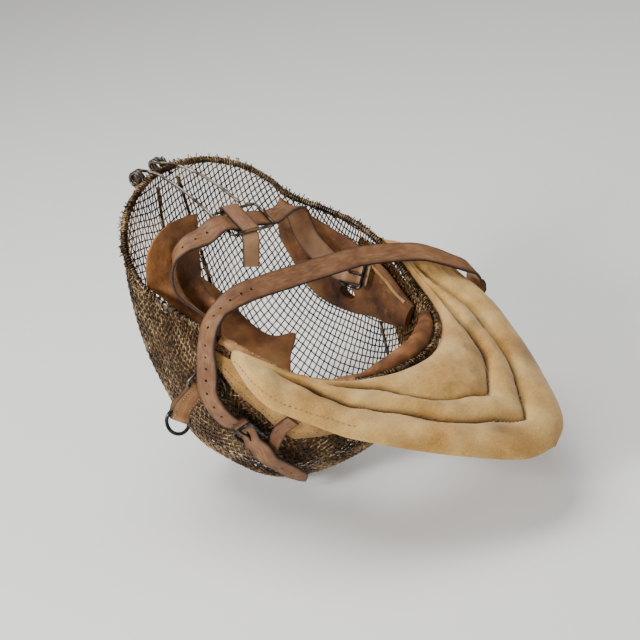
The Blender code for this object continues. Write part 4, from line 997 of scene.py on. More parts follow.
def rounded_loop(place, first, second, half_first, half_second, corner, steps=5):
    """A closed rectangle with round corners, about a place."""
    points = []
    for a, b, start in ((1, 1, 0), (-1, 1, 90), (-1, -1, 180), (1, -1, 270)):
        for angle in np.radians(start + np.linspace(0, 90, steps)):
            points.append(place + first * (a * (half_first - corner) + corner * math.cos(angle))
                          + second * (b * (half_second - corner) + corner * math.sin(angle)))
    return np.array(points)


def strap_frame():
    centre, along, aside, _ = frame_axes()
    loop = rounded_loop(centre, along, aside, FRAME_LENGTH / 2, FRAME_SPAN / 2, 0.0032)
    wire("strap_frame_wire", loop, SPRING_RADIUS, "spring_wire", closed=True, sides=12, stands_for=("strap_frame",))


def strap_skin(name, points, looks, finish, stands_for, width=STRAP_WIDTH, thick=STRAP_THICK, point_end=False, slots=()):
    """A flat strap with round edges along its points: its uneven width, worn edges and flesh side."""
    points, looks = np.asarray(points, float), np.asarray(looks, float)
    length = run_length(points)
    way = unit(np.gradient(points, axis=0))
    look = unit(looks - way * (looks * way).sum(1, keepdims=True))
    aside = np.cross(way, look)
    half = width / 2 * (1 + 0.018 * ripple(points, 0.030, 41))
    if point_end:
        left = length[-1] - length
        half = half * np.clip((left / 0.024 + 0.05), 0.05, 1.0) ** 0.75
    bend = np.linspace(-math.pi / 2, math.pi / 2, 5)
    flat = np.linspace(-1.0, 1.0, 9)
    top = [(s, 1.0) for s in flat]
    right = [(1.0 + math.cos(a) * 0.16, math.sin(a)) for a in bend[1:-1][::-1]]
    low = [(s, -1.0) for s in flat[::-1]]
    left_side = [(-1.0 - math.cos(a) * 0.16, math.sin(a)) for a in bend[1:-1]]
    section = np.array(low + left_side + top + right)
    spread, height = section[:, 0] / 1.16, section[:, 1]
    middle_lift = thick * 0.10 * (1 - spread**2) * (height > 0)
    rings = (
        points[:, None] + aside[:, None] * (half[:, None] * spread)[:, :, None]
        + look[:, None] * ((thick / 2 * height + middle_lift)[None] + 0.00015 * ripple(points, 0.012, 42)[:, None])[:, :, None]
    )
    edge = np.clip((np.abs(spread) - 0.80) / 0.14, 0.0, 1.0)[None] * np.ones((len(points), 1))
    flesh = (height < -0.5).astype(float)[None] * np.ones((len(points), 1)) * (1 - edge)
    uv = np.stack([np.broadcast_to(length[:, None], edge.shape), np.broadcast_to(spread[None] * width / 2, edge.shape)], -1)
    made = loft(name, rings, uv, {"edge": edge, "flesh": flesh})
    if slots:
        cutters = []
        for spot, half_long, half_wide in slots:
            i = int(np.searchsorted(length, spot))
            cutters.append((points[i], (way[i], aside[i], look[i]), (half_long, half_wide, thick * 2.0)))
        pierced(made, cutters)
        made.data.shade_smooth()
        made.data.set_sharp_from_angle(angle=math.radians(50))
    return keep(made, finish, stands_for)


def through_buckle(place, run, out, tail):
    """A strap's points through a buckle: over its hinge bar, down through the frame, under its outer bar."""
    lift = BUCKLE_WIRE + STRAP_THICK / 2 + GAP
    half = BUCKLE_LENGTH / 2
    spots = (
        (-half - 0.004, lift + 0.0003), (-half + 0.001, lift + 0.0003), (-0.0035, lift - 0.0002),
        (0.0035, -lift + 0.0002), (half - 0.001, -lift - 0.0003), (half + tail, -lift - 0.0006),
    )
    return np.array([place + run * t + out * h for t, h in spots])


def head_buckle_axes():
    place = at(0.765, -0.235, 0.425)
    run = unit(np.array([0.04, 0.22, 0.97]))
    out = np.array([-0.90, 0.42, -0.10])
    return place, run, unit(out - run * (out @ run))


def neck_buckle_axes():
    place = mesh_at(1.340, 0.195, 0.0085)
    run = unit(mesh_at(1.370, 0.178, 0.0085) - mesh_at(1.308, 0.214, 0.0085))
    out = mesh_facing(1.340, 0.195)
    return place, run, unit(out - run * (out @ run))


def keeper():
    """A leather strip folded over the frame's top bar, round the strap, with its tail hanging plumb."""
    centre, along, aside, face = frame_axes()
    leaf = SPRING_RADIUS + STRAP_THICK / 2 + GAP
    top = FRAME_LENGTH / 2
    centre = centre - aside * 0.0042
    front = [(0.0165, leaf), (0.004, leaf), (-0.004, leaf), (-0.012, leaf)]
    turned = np.linspace(0.0, math.pi, 6)
    fold = [(-top - leaf * math.sin(a), leaf * math.cos(a)) for a in turned]
    rear = [(-0.010, -leaf), (0.0, -leaf), (0.010, -leaf), (0.016, -leaf)]
    points = [centre + along * t + face * f for t, f in front + fold + rear]
    looks = [face] * 4 + [face * math.cos(a) - along * math.sin(a) for a in turned] + [-face] * 4
    plumb = HANG_WAY
    drop = [points[-1] + (along * 0.35 + plumb * 0.65) * 0.005]
    drop += [drop[0] + plumb * TAIL_LENGTH * share for share in (0.33, 0.66, 1.0)]
    out = unit(np.cross(plumb, aside))
    out = out if out @ face < 0 else -out
    looks += [unit(-face + out)] + [out] * 3
    both = smooth(np.concatenate([np.array(points + drop), np.array(looks)], 1), 4)
    strap_skin("keeper_loop", both[:, :3], both[:, 3:], "keeper_leather", ("strap_keeper",), width=KEEPER_WIDTH)
    row = np.array([centre + along * 0.0120 + aside * s + face * (leaf + STRAP_THICK / 2 + 0.0002)
                    for s in np.linspace(-0.0062, 0.0062, 12)])
    place, way = spaced(row, 0.0026)
    stitches("keeper_stitches", place, way, np.tile(face, (len(place), 1)), 0.0021, 0.00042)


def head_strap():
    """The strap round the back of the head: over the frame's left bar, under its keeper and right bar."""
    centre, along, aside, face = frame_axes()
    lift = SPRING_RADIUS + STRAP_THICK / 2 + GAP
    low = along * FRAME_LENGTH * 0.05
    half = FRAME_SPAN / 2
    spots = (
        (-half - 0.007, lift), (-half, lift + 0.0003), (-half + 0.0045, 0.0012), (-0.0125, 0.0), (-0.004, 0.0),
        (0.006, 0.0), (half - 0.007, -0.0012), (half, -lift - 0.0003), (half + 0.007, -lift),
    )
    middle = np.array([centre + low + aside * s + face * f for s, f in spots])
    left, right = np.array(HEAD_STRAP_LEFT), np.array(HEAD_STRAP_RIGHT)
    left_points = np.array([at(*row[:3]) for row in left])
    right_points = np.array([at(*row[:3]) for row in right])
    place, run, out = head_buckle_axes()
    end = through_buckle(place, run, out, tail=0.004)
    points = np.concatenate([left_points, middle, right_points, end])
    turned = np.concatenate([left[:, 3:], np.tile(face, (len(middle), 1)), right[:, 3:], np.tile(-out, (len(end), 1))])
    both = smooth(np.concatenate([points, turned], 1), 8)
    length = run_length(both[:, :3])
    bar = length[len(left) * 8]
    slots = [(bar - away, 0.00115, 0.00115) for away in (0.012, 0.0255, 0.039)]
    buckle_at = length[(len(points) - 4) * 8 + 4]
    slots.append((buckle_at, 0.0045, PRONG_WIRE + 0.0006))
    strap_skin("head_strap_leather", both[:, :3], both[:, 3:], "strap_leather", ("head_strap",), slots=slots)


def neck_strap():
    """The whole neck strap, from the right jaw over the bib and the opening, and down to its buckle and tip."""
    skin = MESH_WALL / 2 + GUSSET_THICK + STRAP_THICK / 2 + 3 * GAP
    hidden = ((0.700, 0.150, 0.0016), (0.697, 0.105, 0.0040))
    first = [mesh_at(turn, drop, skin + out) for turn, drop, out in hidden]
    first_looks = [mesh_facing(turn, drop) for turn, drop, _ in hidden]
    over = np.array(NECK_STRAP_OVER)
    over_points = [at(*row[:3]) for row in over]
    clear = MESH_WALL / 2 + STRAP_THICK / 2 + STAND_OFF
    outside = ((1.452, 0.055, 0.004), (1.436, 0.095, 0.0100), (1.412, 0.135, 0.0095), (1.386, 0.165, 0.0075))
    down = [mesh_at(turn, drop, clear + out) for turn, drop, out in outside]
    looks = [mesh_facing(turn, drop) for turn, drop, _ in outside]
    place, run, out = neck_buckle_axes()
    past = through_buckle(place, run, out, tail=0.004)[::-1]
    lower = ((1.285, 0.250, 0.0090), (1.240, 0.320, 0.0040), (1.205, 0.390, 0.0025), (1.172, 0.480, 0.0025))
    tail = [mesh_at(turn, drop, clear + lift) for turn, drop, lift in lower]
    tail_looks = [mesh_facing(turn, drop) for turn, drop, _ in lower]
    points = np.concatenate([first, over_points, down, past, tail])
    facing = np.concatenate([first_looks, over[:, 3:], looks, np.tile(out, (len(past), 1)), tail_looks])
    both = smooth(np.concatenate([points, facing], 1), 8)
    length = run_length(both[:, :3])
    before = length[(len(points) - len(tail) - len(past)) * 8]
    slots = [(before - 0.006 - STRAP_HOLE_PITCH * k, 0.00115, 0.00115) for k in range(14)]
    slots += [(length[-1] - 0.020 - STRAP_HOLE_PITCH * k, 0.00115, 0.00115) for k in range(3)]
    slots.append((length[(len(points) - len(tail) - 4) * 8 + 4], 0.0045, PRONG_WIRE + 0.0006))
    strap_skin("neck_strap_leather", both[:, :3], both[:, 3:], "strap_leather", ("neck_strap",), point_end=True, slots=slots)


def buckle(name, prong, place, run, out):
    """A wire buckle and the prong on its hinge bar."""
    aside = np.cross(out, run)
    half_w = STRAP_WIDTH / 2 + BUCKLE_WIRE + GAP + 0.0006
    loop = rounded_loop(place, run, aside, BUCKLE_LENGTH / 2, half_w, 0.0026)
    wire(name + "_loop", loop, BUCKLE_WIRE, "black_steel", closed=True, sides=14, stands_for=(name,))
    rest = BUCKLE_WIRE + PRONG_WIRE + GAP
    half_l = BUCKLE_LENGTH / 2
    curl = [place + run * (-half_l + BUCKLE_WIRE * 1.75 * math.cos(a)) + out * BUCKLE_WIRE * 1.75 * math.sin(a)
            for a in np.linspace(math.radians(300), math.radians(60), 9)]
    points = curl + [place + run * -0.002 + out * rest * 0.35, place + run * 0.004 + out * rest * 0.8,
                     place + run * (half_l - 0.002) + out * rest * 1.05, place + run * (half_l + 0.0015) + out * rest]
    wire(prong + "_wire", smooth(points, 3), PRONG_WIRE, "black_steel", sides=10, stands_for=(prong,))


def chapes():
    """The short strap end that holds the neck strap's buckle by its hinge bar."""
    place, run, out = neck_buckle_axes()
    hinge = place - run * (BUCKLE_LENGTH / 2 + BUCKLE_WIRE + GAP + 0.0022)
    lift = MESH_WALL / 2 + GUSSET_THICK + STRAP_THICK / 2 + 4 * GAP
    spots = ((1.284, 0.165), (1.278, 0.125), (1.258, 0.085))
    points = [hinge, hinge - run * 0.006] + [mesh_at(turn, drop, lift + 0.0008) for turn, drop in spots]
    looks = [out, out] + [mesh_facing(turn, drop) for turn, drop in spots]
    both = smooth(np.concatenate([points, looks], 1), 6)
    strap_skin("neck_chape_leather", both[:, :3], both[:, 3:], "strap_leather", ("neck_chape",), width=STRAP_WIDTH * 0.6)


def ring_and_tab():
    """A wire hanger on the left cheek, a leather tab folded round it, and a steel ring in the tab's lower fold."""
    lift = MESH_WALL / 2 + HANGER_WIRE + GAP
    top = mesh_at(1.465, 0.120, lift + 0.0060)
    aside = unit(np.array([0.62, -0.40, 0.67]))
    corners = ((1.412, 0.118, 0.0016), (1.412, 0.100, 0.0006), (1.422, 0.070, 0.0003), (1.455, 0.060, 0.0003),
               (1.474, 0.075, 0.0006))
    hanger = [top - aside * TAB_WIDTH * 0.62, top + aside * TAB_WIDTH * 0.62]
    hanger += [mesh_at(turn, drop, lift + out) for turn, drop, out in corners]
    wire("ring_hanger_wire", smooth(hanger, 3, closed=True), HANGER_WIRE, "spring_wire", closed=True, stands_for=("ring_hanger",))
    ways = [unit(np.array(way)) for way in TAB_WAYS]
    spine = [top]
    for way, step in zip(ways, (0.40, 0.33, 0.27)):
        spine.append(spine[-1] + way * TAB_DROP * step)
    upper = HANGER_WIRE + TAB_THICK / 2 + 1.5 * GAP
    lower = RING_WIRE + TAB_THICK / 2 + 2.2 * GAP
    half = (upper, TAB_THICK / 2 + 0.0010, lower + 0.0003, lower + 0.0003)
    across = []
    for i in range(len(spine)):
        way = unit(spine[min(i + 1, len(spine) - 1)] - spine[max(i - 1, 0)])
        across.append((way, unit(np.cross(aside, way))))
    points = [spine[i] + across[i][1] * half[i] for i in range(4)]
    looks = [across[i][1] for i in range(4)]
    way, face = across[3]
    for angle in np.linspace(0.0, math.pi, 7)[1:-1]:
        points.append(spine[3] + face * lower * math.cos(angle) + way * lower * math.sin(angle))
        looks.append(face * math.cos(angle) + way * math.sin(angle))
    points += [spine[i] - across[i][1] * half[i] for i in (3, 2, 1, 0)]
    looks += [-across[i][1] for i in (3, 2, 1, 0)]
    way, face = across[0]
    for angle in np.linspace(math.pi, 2 * math.pi, 7)[1:-1]:
        points.append(spine[0] + face * upper * math.cos(angle) + way * upper * math.sin(angle))
        looks.append(face * math.cos(angle) + way * math.sin(angle))
    both = smooth(np.concatenate([np.array(points), np.array(looks)], 1), 3, closed=True)
    run, look = both[:, :3], unit(both[:, 3:])
    bend = np.linspace(-math.pi / 2, math.pi / 2, 5)
    section = [(-1.0, -1.0), (0.0, -1.0), (1.0, -1.0)]
    section += [(1.0 + math.cos(a) * 0.12, math.sin(a)) for a in bend[1:-1]]
    section += [(1.0, 1.0), (0.0, 1.0), (-1.0, 1.0)]
    section += [(-1.0 - math.cos(a) * 0.12, math.sin(a)) for a in bend[1:-1][::-1]]
    spread, height = np.array(section).T
    spread = spread / 1.12
    rings = run[:, None] + aside * (TAB_WIDTH / 2 * spread)[None, :, None] + look[:, None] * (TAB_THICK / 2 * height)[None, :, None]
    edge = np.broadcast_to(np.clip((np.abs(spread) - 0.86) / 0.1, 0, 1)[None], rings.shape[:2])
    uv = np.stack([np.broadcast_to(run_length(run)[:, None], edge.shape), np.broadcast_to(spread[None] * 0.008, edge.shape)], -1)
    keep(loft("tab_leather_fold", rings, uv, {"edge": edge}, closed=True), "tab_leather", ("ring_tab",))
    for side in (-1, 1):
        for leaf in (1, -1):
            row = np.array([spine[i] + across[i][1] * leaf * (half[i] + TAB_THICK / 2 + 0.0002) + aside * side * 0.0052
                            for i in range(4)])
            place, way = spaced(smooth(row, 4), 0.0024)
            face_to = np.tile(across[1][1] * leaf, (len(place), 1))
            stitches(f"tab_stitches_{'ab'[side > 0]}{'ab'[leaf > 0]}", place, way, face_to, 0.0019, 0.00038)
    way = across[3][0]
    centre = spine[3] + way * (math.sqrt(RING_RADIUS**2 - (TAB_WIDTH / 2) ** 2) - 3 * GAP)
    circle = [centre + way * RING_RADIUS * math.cos(a) + aside * RING_RADIUS * math.sin(a)
              for a in np.linspace(0, 2 * math.pi, 48, endpoint=False)]
    wire("tab_ring_steel", circle, RING_WIRE, "black_steel", closed=True, sides=14, stands_for=("tab_ring",))


def finer(rows, per):
    """The rows of a table with per steps between two of them, on a smooth curve."""
    names = list(rows)
    dense = smooth(np.stack([rows[name] for name in names], 1), per)
    return [dict(zip(names, values)) for values in dense]


def crease(points, amount, seed):
    """How far soft leather or canvas stands up or sinks at each point."""
    long = ripple(points, 0.028, seed) * 0.55
    short = ripple(points, 0.011, seed + 1) * 0.30
    fine = ripple(points, 0.0048, seed + 2) * 0.15
    return (long + short + fine) * amount


def right_pad():
    """The right cheek pad inside the mesh, with its ear hole, strap window, piping and stitched lower edge."""
    rows = finer(rows_of(RIGHT_PAD, RIGHT_PAD_COLUMNS), 7)
    wall = MESH_WALL / 2 + GAP + FACET_SAG
    shares = np.linspace(0.0, 1.0, 44)
    low, high = [], []
    for row in rows:
        turn = turn_of(1, row["down"] * (CROWN_RISE if row["down"] < 0 else FACE_DROP))
        puff = np.sin(math.pi * shares) ** 0.6
        thick = 0.0025 + (PAD_THICK - 0.0025) * puff * np.clip(row["full"], 0.1, 1.0)
        spots = 0.022 + (row["drop"] - 0.022) * shares
        low.append([mesh_at(turn, spot, -wall) for spot in spots])
        high.append([mesh_at(turn, spot, -wall - depth) for spot, depth in zip(spots, thick)])
    low, high = np.array(low), np.array(high)
    up = unit(high - low)
    inner = np.minimum(shares, 1 - shares)[None] * np.ones((len(rows), 1))
    ends = np.minimum(np.arange(len(rows)), np.arange(len(rows))[::-1])[:, None] / 8.0
    soft = np.clip(inner / 0.12, 0, 1) * np.clip(ends, 0, 1)
    high = high + up * (crease(high, 0.0016, 51) * soft - 0.0006)[..., None]
    span = len(rows) - 1
    ear_row, ear_column = int(span * 0.35), int(43 * 0.40)
    window_row, window_column = int(span * 0.65), int(43 * 0.60)
    ear = high[ear_row, ear_column]
    # Painted shade: darker round the ear hole and the strap window and along the pad's edges, where the leather sinks
    # into shadow.
    stain_and_shade = np.clip(gauss(high, ear, 0.016) * 0.5 + gauss(high, high[window_row, window_column], 0.014) * 0.4, 0, 1)
    stain_and_shade = np.clip(stain_and_shade + 0.35 * (1 - soft), 0, 1)
    uv = np.stack([np.broadcast_to(np.arange(len(rows))[:, None] * 0.003, stain_and_shade.shape),
                   np.broadcast_to(shares[None] * 0.05, stain_and_shade.shape)], -1)
    made = slab("right_pad_leather", low, high, uv, {"stain_and_shade": stain_and_shade})
    cutters = []
    for i, k, size in ((ear_row, ear_column, (0.0068, 0.0056)), (window_row, window_column, (0.0082, 0.0060))):
        along = unit(high[i + 1, k] - high[i - 1, k])
        through = up[i, k]
        cutters.append((high[i, k], (along, np.cross(through, along), through), (*size, PAD_THICK * 1.6)))
    pierced(made, cutters, sides=28)
    made.data.shade_smooth()
    made.data.set_sharp_from_angle(angle=math.radians(55))
    keep(made, "pad_leather", ("cheek_pad_right",))
    for place, (along, aside, through), size in cutters:
        ring = [place + along * size[0] * 1.12 * math.cos(a) + aside * size[1] * 1.12 * math.sin(a) - through * 0.0004
                for a in np.linspace(0, 2 * math.pi, 32, endpoint=False)]
        name = "ear_hole_edge" if size[0] < 0.008 else "strap_window_edge"
        soft_cord(name, ring, 0.0009, "pad_leather", closed=True)
    chin_end = int(len(rows) * 0.62)
    piping = high[chin_end:-3, 2] + up[chin_end:-3, 2] * 0.0008
    soft_cord("right_pad_piping", piping, 0.0013, "canvas")
    edge = high[3:-3, -2] + up[3:-3, -2] * 0.0003
    place, way, face = spaced(smooth(edge, 2), 0.0034, smooth(up[3:-3, -2], 2))
    stitches("right_pad_stitches", place, way, face, 0.0024, 0.00042)


def soft_cord(name, points, radius, finish, closed=False):
    """A round covered cord sewn along an edge, such as piping."""
    points = np.asarray(points, float)
    way = np.gradient(points, axis=0)
    if closed:
        way = np.roll(points, -1, 0) - np.roll(points, 1, 0)
    way = unit(way)
    side = unit(np.cross(way, np.array([0.31, 0.52, 0.79])))
    other = np.cross(way, side)
    angle = np.linspace(0, 2 * math.pi, 10, endpoint=False)
    thick = radius * (1 + 0.12 * ripple(points, 0.009, 61))
    rings = points[:, None] + (side[:, None] * np.cos(angle)[None, :, None] + other[:, None] * np.sin(angle)[None, :, None]) * thick[:, None, None]
    uv = np.stack([np.broadcast_to(run_length(points)[:, None], rings.shape[:2]), np.broadcast_to(angle[None] * radius, rings.shape[:2])], -1)
    return keep(loft(name, rings, uv, closed=closed), finish)


def bend(start, middle, end, shares):
    """Points along one smooth bend that passes its middle point."""
    pull = 2 * middle - 0.5 * (start + end)
    t = np.asarray(shares)[:, None]
    return (1 - t) ** 2 * start + 2 * t * (1 - t) * pull + t**2 * end


def left_pad():
    """The loose pad at the left temple, which has come away from the mesh along its free edge."""
    rows = finer(rows_of(LEFT_PAD, LEFT_PAD_COLUMNS), 9)
    shares = np.linspace(0.0, 1.0, 40)
    low, high = [], []
    for row in rows:
        turn = turn_of(-1, row["mesh_down"] * FACE_DROP)
        edge = mesh_at(turn, row["mesh_drop"], -(MESH_WALL / 2 + GAP + 0.0007))
        middle = at(row["mid_across"], row["mid_back"], row["mid_down"])
        free = at(row["free_across"], row["free_back"], row["free_down"])
        spine = bend(edge, middle, free, shares)
        run = unit(np.gradient(spine, axis=0))
        up = unit(np.cross(np.array([0.0, 0.0, 1.0]), run))
        up = up * np.where(up[:, 1:2] > 0, 1.0, -1.0)
        thick = 0.0025 + (PAD_THICK * 0.8 - 0.0025) * np.sin(math.pi * shares) ** 0.6 * np.clip(row["full"], 0.1, 1.0)
        low.append(spine - up * thick[:, None] / 2)
        high.append(spine + up * thick[:, None] / 2)
    low, high = np.array(low), np.array(high)
    up = unit(high - low)
    soft = np.clip(np.minimum(shares, 1 - shares) / 0.12, 0, 1)[None] * np.ones((len(rows), 1))
    high = high + up * (crease(high, 0.0015, 55) * soft - 0.0005)[..., None]
    low = low - up * (crease(low, 0.0012, 58) * soft - 0.0005)[..., None]
    # Painted shade: the whole pad is darkened a little, and more at its edges, as it lies in shadow inside the mesh.
    stain_and_shade = np.clip(0.30 * (1 - soft) + 0.2, 0, 1)
    uv = np.stack([np.broadcast_to(np.arange(len(rows))[:, None] * 0.003, stain_and_shade.shape),
                   np.broadcast_to(shares[None] * 0.05, stain_and_shade.shape)], -1)
    made = keep(slab("left_pad_leather", low, high, uv, {"stain_and_shade": stain_and_shade}), "pad_leather", ("cheek_pad_left",))


def ear_flap():
    """The leather flap at the left temple: its cut edge is frayed, and its flesh side shows at the top."""
    rows = finer(rows_of(FLAP, FLAP_COLUMNS), 12)
    shares = np.linspace(0.0, 1.0, 36)
    grid = []
    random = np.random.default_rng(71)
    for row in rows:
        edge = at(row["root_across"], row["root_back"], row["root_down"])
        middle = at(row["mid_across"], row["mid_back"], row["mid_down"])
        free = at(row["free_across"], row["free_back"], row["free_down"])
        grid.append(bend(edge, middle, free, shares * (1.0 - random.uniform(0.0, 0.018))))
    grid = np.array(grid)
    way = unit(np.cross(np.gradient(grid, axis=0), np.gradient(grid, axis=1)))
    grid = grid + way * crease(grid, 0.0012, 72)[..., None]
    half = FLAP_THICK / 2 * np.clip(0.55 + np.minimum(shares, 1 - shares) * 8, 0.55, 1.0)[None, :, None]
    nap = np.clip(1.3 - np.arange(len(rows)) / 9.0, 0, 1)[:, None] * np.ones((1, len(shares)))
    stain_and_shade = np.clip(0.55 - 1.2 * ripple(grid, 0.03, 74), 0, 0.6) * (1 - nap)
    uv = np.stack([np.broadcast_to(np.arange(len(rows))[:, None] * 0.003, stain_and_shade.shape),
                   np.broadcast_to(shares[None] * 0.07, stain_and_shade.shape)], -1)
    keep(slab("ear_flap_leather", grid - way * half, grid + way * half, uv, {"stain_and_shade": stain_and_shade, "flesh": nap}),
         "pad_leather", ("ear_flap_left",))


def chin_roll():
    """The stuffed leather roll inside the chin, thick at its middle and thin at its ends."""
    start, end = turn_of(1, 0.87 * FACE_DROP), turn_of(-1, 0.82 * FACE_DROP)
    count = 90
    angle = np.linspace(0, 2 * math.pi, 36, endpoint=False)
    back = np.array([0.0, 1.0, 0.0])
    rings, centres = [], []
    for share in np.linspace(0.0, 1.0, count):
        full = 0.30 + 0.70 * math.sin(math.pi * min(share * 1.12 + 0.06, 1.0)) ** 0.7
        radius = ROLL_RADIUS * full
        edge = rim_turn(start + (end - start) * share)
        inward = unit(np.array([-edge[0], 0.0, NOSE_DOWN * 1.4 - edge[2]]))
        centre = edge + inward * (radius + RIM_RADIUS + GAP) - back * radius * 0.35
        centres.append(centre)
        rings.append(centre + (inward * np.cos(angle)[:, None] + back * np.sin(angle)[:, None]) * radius)
    rings, centres = np.array(rings), np.array(centres)
    out = unit(rings - centres[:, None])
    rings = rings + out * (crease(rings, 0.0006, 81) - 0.0002)[..., None]
    stain_and_shade = np.clip(0.25 + 0.35 * ripple(rings, 0.02, 84), 0, 0.7)
    uv = np.stack([np.broadcast_to(run_length(centres)[:, None], stain_and_shade.shape), np.broadcast_to(angle[None] * 0.008, stain_and_shade.shape)], -1)
    made = keep(loft("chin_roll_leather", rings, uv, {"stain_and_shade": stain_and_shade}), "pad_leather", ("chin_roll",))


def bib_ring(row, side, shares, rear_shares):
    """One ring round the bib: its quilted front, its plainer back, the depth of its seams and its width."""
    edge = rim_at(side, row["rim"] * FACE_DROP)
    down = row["down"] * FACE_DROP if row["down"] <= 1 else FACE_DROP + (row["down"] - 1) * BIB_REACH
    outer = np.array([row["across"] * HALF_WIDTH * side, -0.004, down])
    away = unit((outer - edge) * [1, 0, 1])
    inner = edge + away * (RIM_RADIUS + GAP + 0.0005) - np.array([0.0, 0.001, 0.0])
    width = np.linalg.norm(outer - inner)
    thick = min(BIB_THICK, 0.004 + width * 0.45) * np.clip(row["full"], 0.2, 1.0)
    bounds = [0.0, row["seam_a"], row["seam_b"], 1.0]
    grooves = np.clip([row["groove_a"], row["groove_b"]], 0.0, 1.0)
    bases = [0.0, 1.0 - 2.5 * SEAM_SHARE * grooves[0], 1.0 - 2.5 * SEAM_SHARE * grooves[1], -0.1]
    height = np.zeros(len(shares))
    for i in range(3):
        zone = (shares >= bounds[i]) & (shares <= bounds[i + 1])
        t = (shares[zone] - bounds[i]) / (bounds[i + 1] - bounds[i])
        base = bases[i] * (1 - t) + bases[i + 1] * t
        height[zone] = base + (1.10 - base) * (1.0 - np.abs(2 * t - 1) ** 2.0) ** 0.60
    seam = np.zeros(len(shares))
    # The seam mark: it calms the creases at the seams, and the canvas material paints it near black as shade in the
    # grooves.
    for bound, groove in zip(bounds[1:3], grooves):
        seam = np.maximum(seam, groove * np.exp(-(((shares - bound) * width / 0.0013) ** 2)))
    rear = -np.clip(np.sin(math.pi * rear_shares), 0, 1) ** 0.45
    back = np.array([0.0, 1.0, 0.0])
    spots = np.concatenate([shares, rear_shares])
    heights = np.concatenate([height, rear])
    points = inner + (outer - inner) * spots[:, None] + back * (thick / 2 * heights)[:, None]
    return points, np.concatenate([seam, np.zeros(len(rear_shares))]), width


def bib():
    """The quilted canvas bib under the chin: stuffed channels between sewn seams, soiled and worn at its edge, with
    painted shade on its underside and in its seam grooves.
    """
    rows = rows_of(BIB, BIB_COLUMNS)
    half = finer(rows, 9)
    shares = (1 - np.cos(np.linspace(0, math.pi, 84))) / 2 * 0.35 + np.linspace(0, 1, 84) * 0.65
    rear_shares = np.linspace(0.97, 0.03, 26)
    found = [bib_ring(row, 1, shares, rear_shares) for row in half]
    found += [bib_ring(row, -1, shares, rear_shares) for row in half[-2::-1]]
    rings = np.array([ring for ring, _, _ in found])
    seam = np.array([line for _, line, _ in found])
    front = np.concatenate([np.ones(len(shares)), np.zeros(len(rear_shares))])[None]
    away = np.concatenate([np.sin(math.pi * shares) ** 0.4, np.sin(math.pi * rear_shares) ** 0.4])[None]
    lift = crease(rings, 0.0012, 91) * away * (1 - 0.9 * seam)
    length = run_length(rings[:, len(shares) // 2])
    random = np.random.default_rng(95)
    pleats = np.interp(length, np.linspace(0, length[-1], 90), random.uniform(-1, 1, 90))[:, None]
    near_seam = np.exp(-((np.abs(np.log(np.maximum(seam, 1e-6))) - 1.2) ** 2) / 6.0)
    lift = lift + 0.0006 * pleats * near_seam * front
    back = np.array([0.0, 1.0, 0.0])
    sign = np.concatenate([np.ones(len(shares)), -np.ones(len(rear_shares))])
    rings = rings + back * ((lift - 0.0004) * sign[None])[..., None]
    tip = len(half) - 1
    # Stains at three spots, and painted shade: the back of the bib is darkened by 0.35 for its shaded underside.
    stain_and_shade = 0.55 * gauss(rings, rings[tip + 10, 60], 0.010) + 0.45 * gauss(rings, rings[tip - 22, 70], 0.012)
    stain_and_shade = stain_and_shade + 0.5 * gauss(rings, rings[tip - 30, 34], 0.008) + 0.35 * (1 - front)
    stain_and_shade = np.clip(stain_and_shade + 0.25 * np.clip(ripple(rings, 0.03, 97), 0, 1) * np.clip(shares.max() - 0.2, 0, 1), 0, 0.85)
    around = np.concatenate([shares, 2 - rear_shares])
    uv = np.stack([np.broadcast_to(length[:, None], stain_and_shade.shape), np.broadcast_to(around[None] * 0.10, stain_and_shade.shape)], -1)
    made = keep(loft("bib_canvas", rings, uv, {"seam": seam, "stain_and_shade": stain_and_shade}), "canvas", ("bib",))
    row = rings[-60:-6, int(len(shares) * 0.86)] + back * 0.0003
    place, way = spaced(row, 0.0042)
    stitches("bib_edge_stitches", place, way, np.tile(back, (len(place), 1)), 0.0030, 0.00042)


def gusset():
    """The canvas band on the mesh's outside, from under the bib down to its sewn border."""
    rows = rows_of(GUSSET, GUSSET_COLUMNS)
    downs = rows["down"] * FACE_DROP
    start, end = turn_of(1, downs[0]), turn_of(-1, downs[0])
    shares = np.linspace(0.0, 1.0, 14)
    grid = []
    for turn in np.linspace(start, end, 150):
        drop = np.interp(rim_turn(turn)[2], downs, rows["drop"])
        grid.append([mesh_at(turn, 0.014 + (drop - 0.014) * share, MESH_WALL / 2 + GAP) for share in shares])
    low = np.array(grid)
    out = unit(low - np.array([0.0, -0.3 * MESH_DEPTH, NOSE_DOWN]))
    lift = 0.0004 + np.clip(crease(low, 0.0009, 101), -0.0004, 0.002)
    high = low + out * (GUSSET_THICK * 0.8 + lift)[..., None]
    border = np.clip((shares - 0.84) / 0.05, 0, 1)[None] * np.ones((len(grid), 1))
    uv = np.stack([run_length(low[:, 7])[:, None] * np.ones((1, len(shares))), shares[None] * 0.03 * np.ones((len(grid), 1))], -1)
    made = keep(slab("gusset_canvas", low, high, uv, {"stain_and_shade": border * 0.45}), "band_canvas", ("bib_gusset",))
    for share, name in ((0.90, "outer"), (0.55, "inner")):
        k = int(share * (len(shares) - 1))
        row = high[2:-2, k] + out[2:-2, k] * 0.0003
        place, way, face = spaced(row, 0.0036, out[2:-2, k])
        stitches("gusset_stitches_" + name, place, way, face, 0.0026, 0.00040)


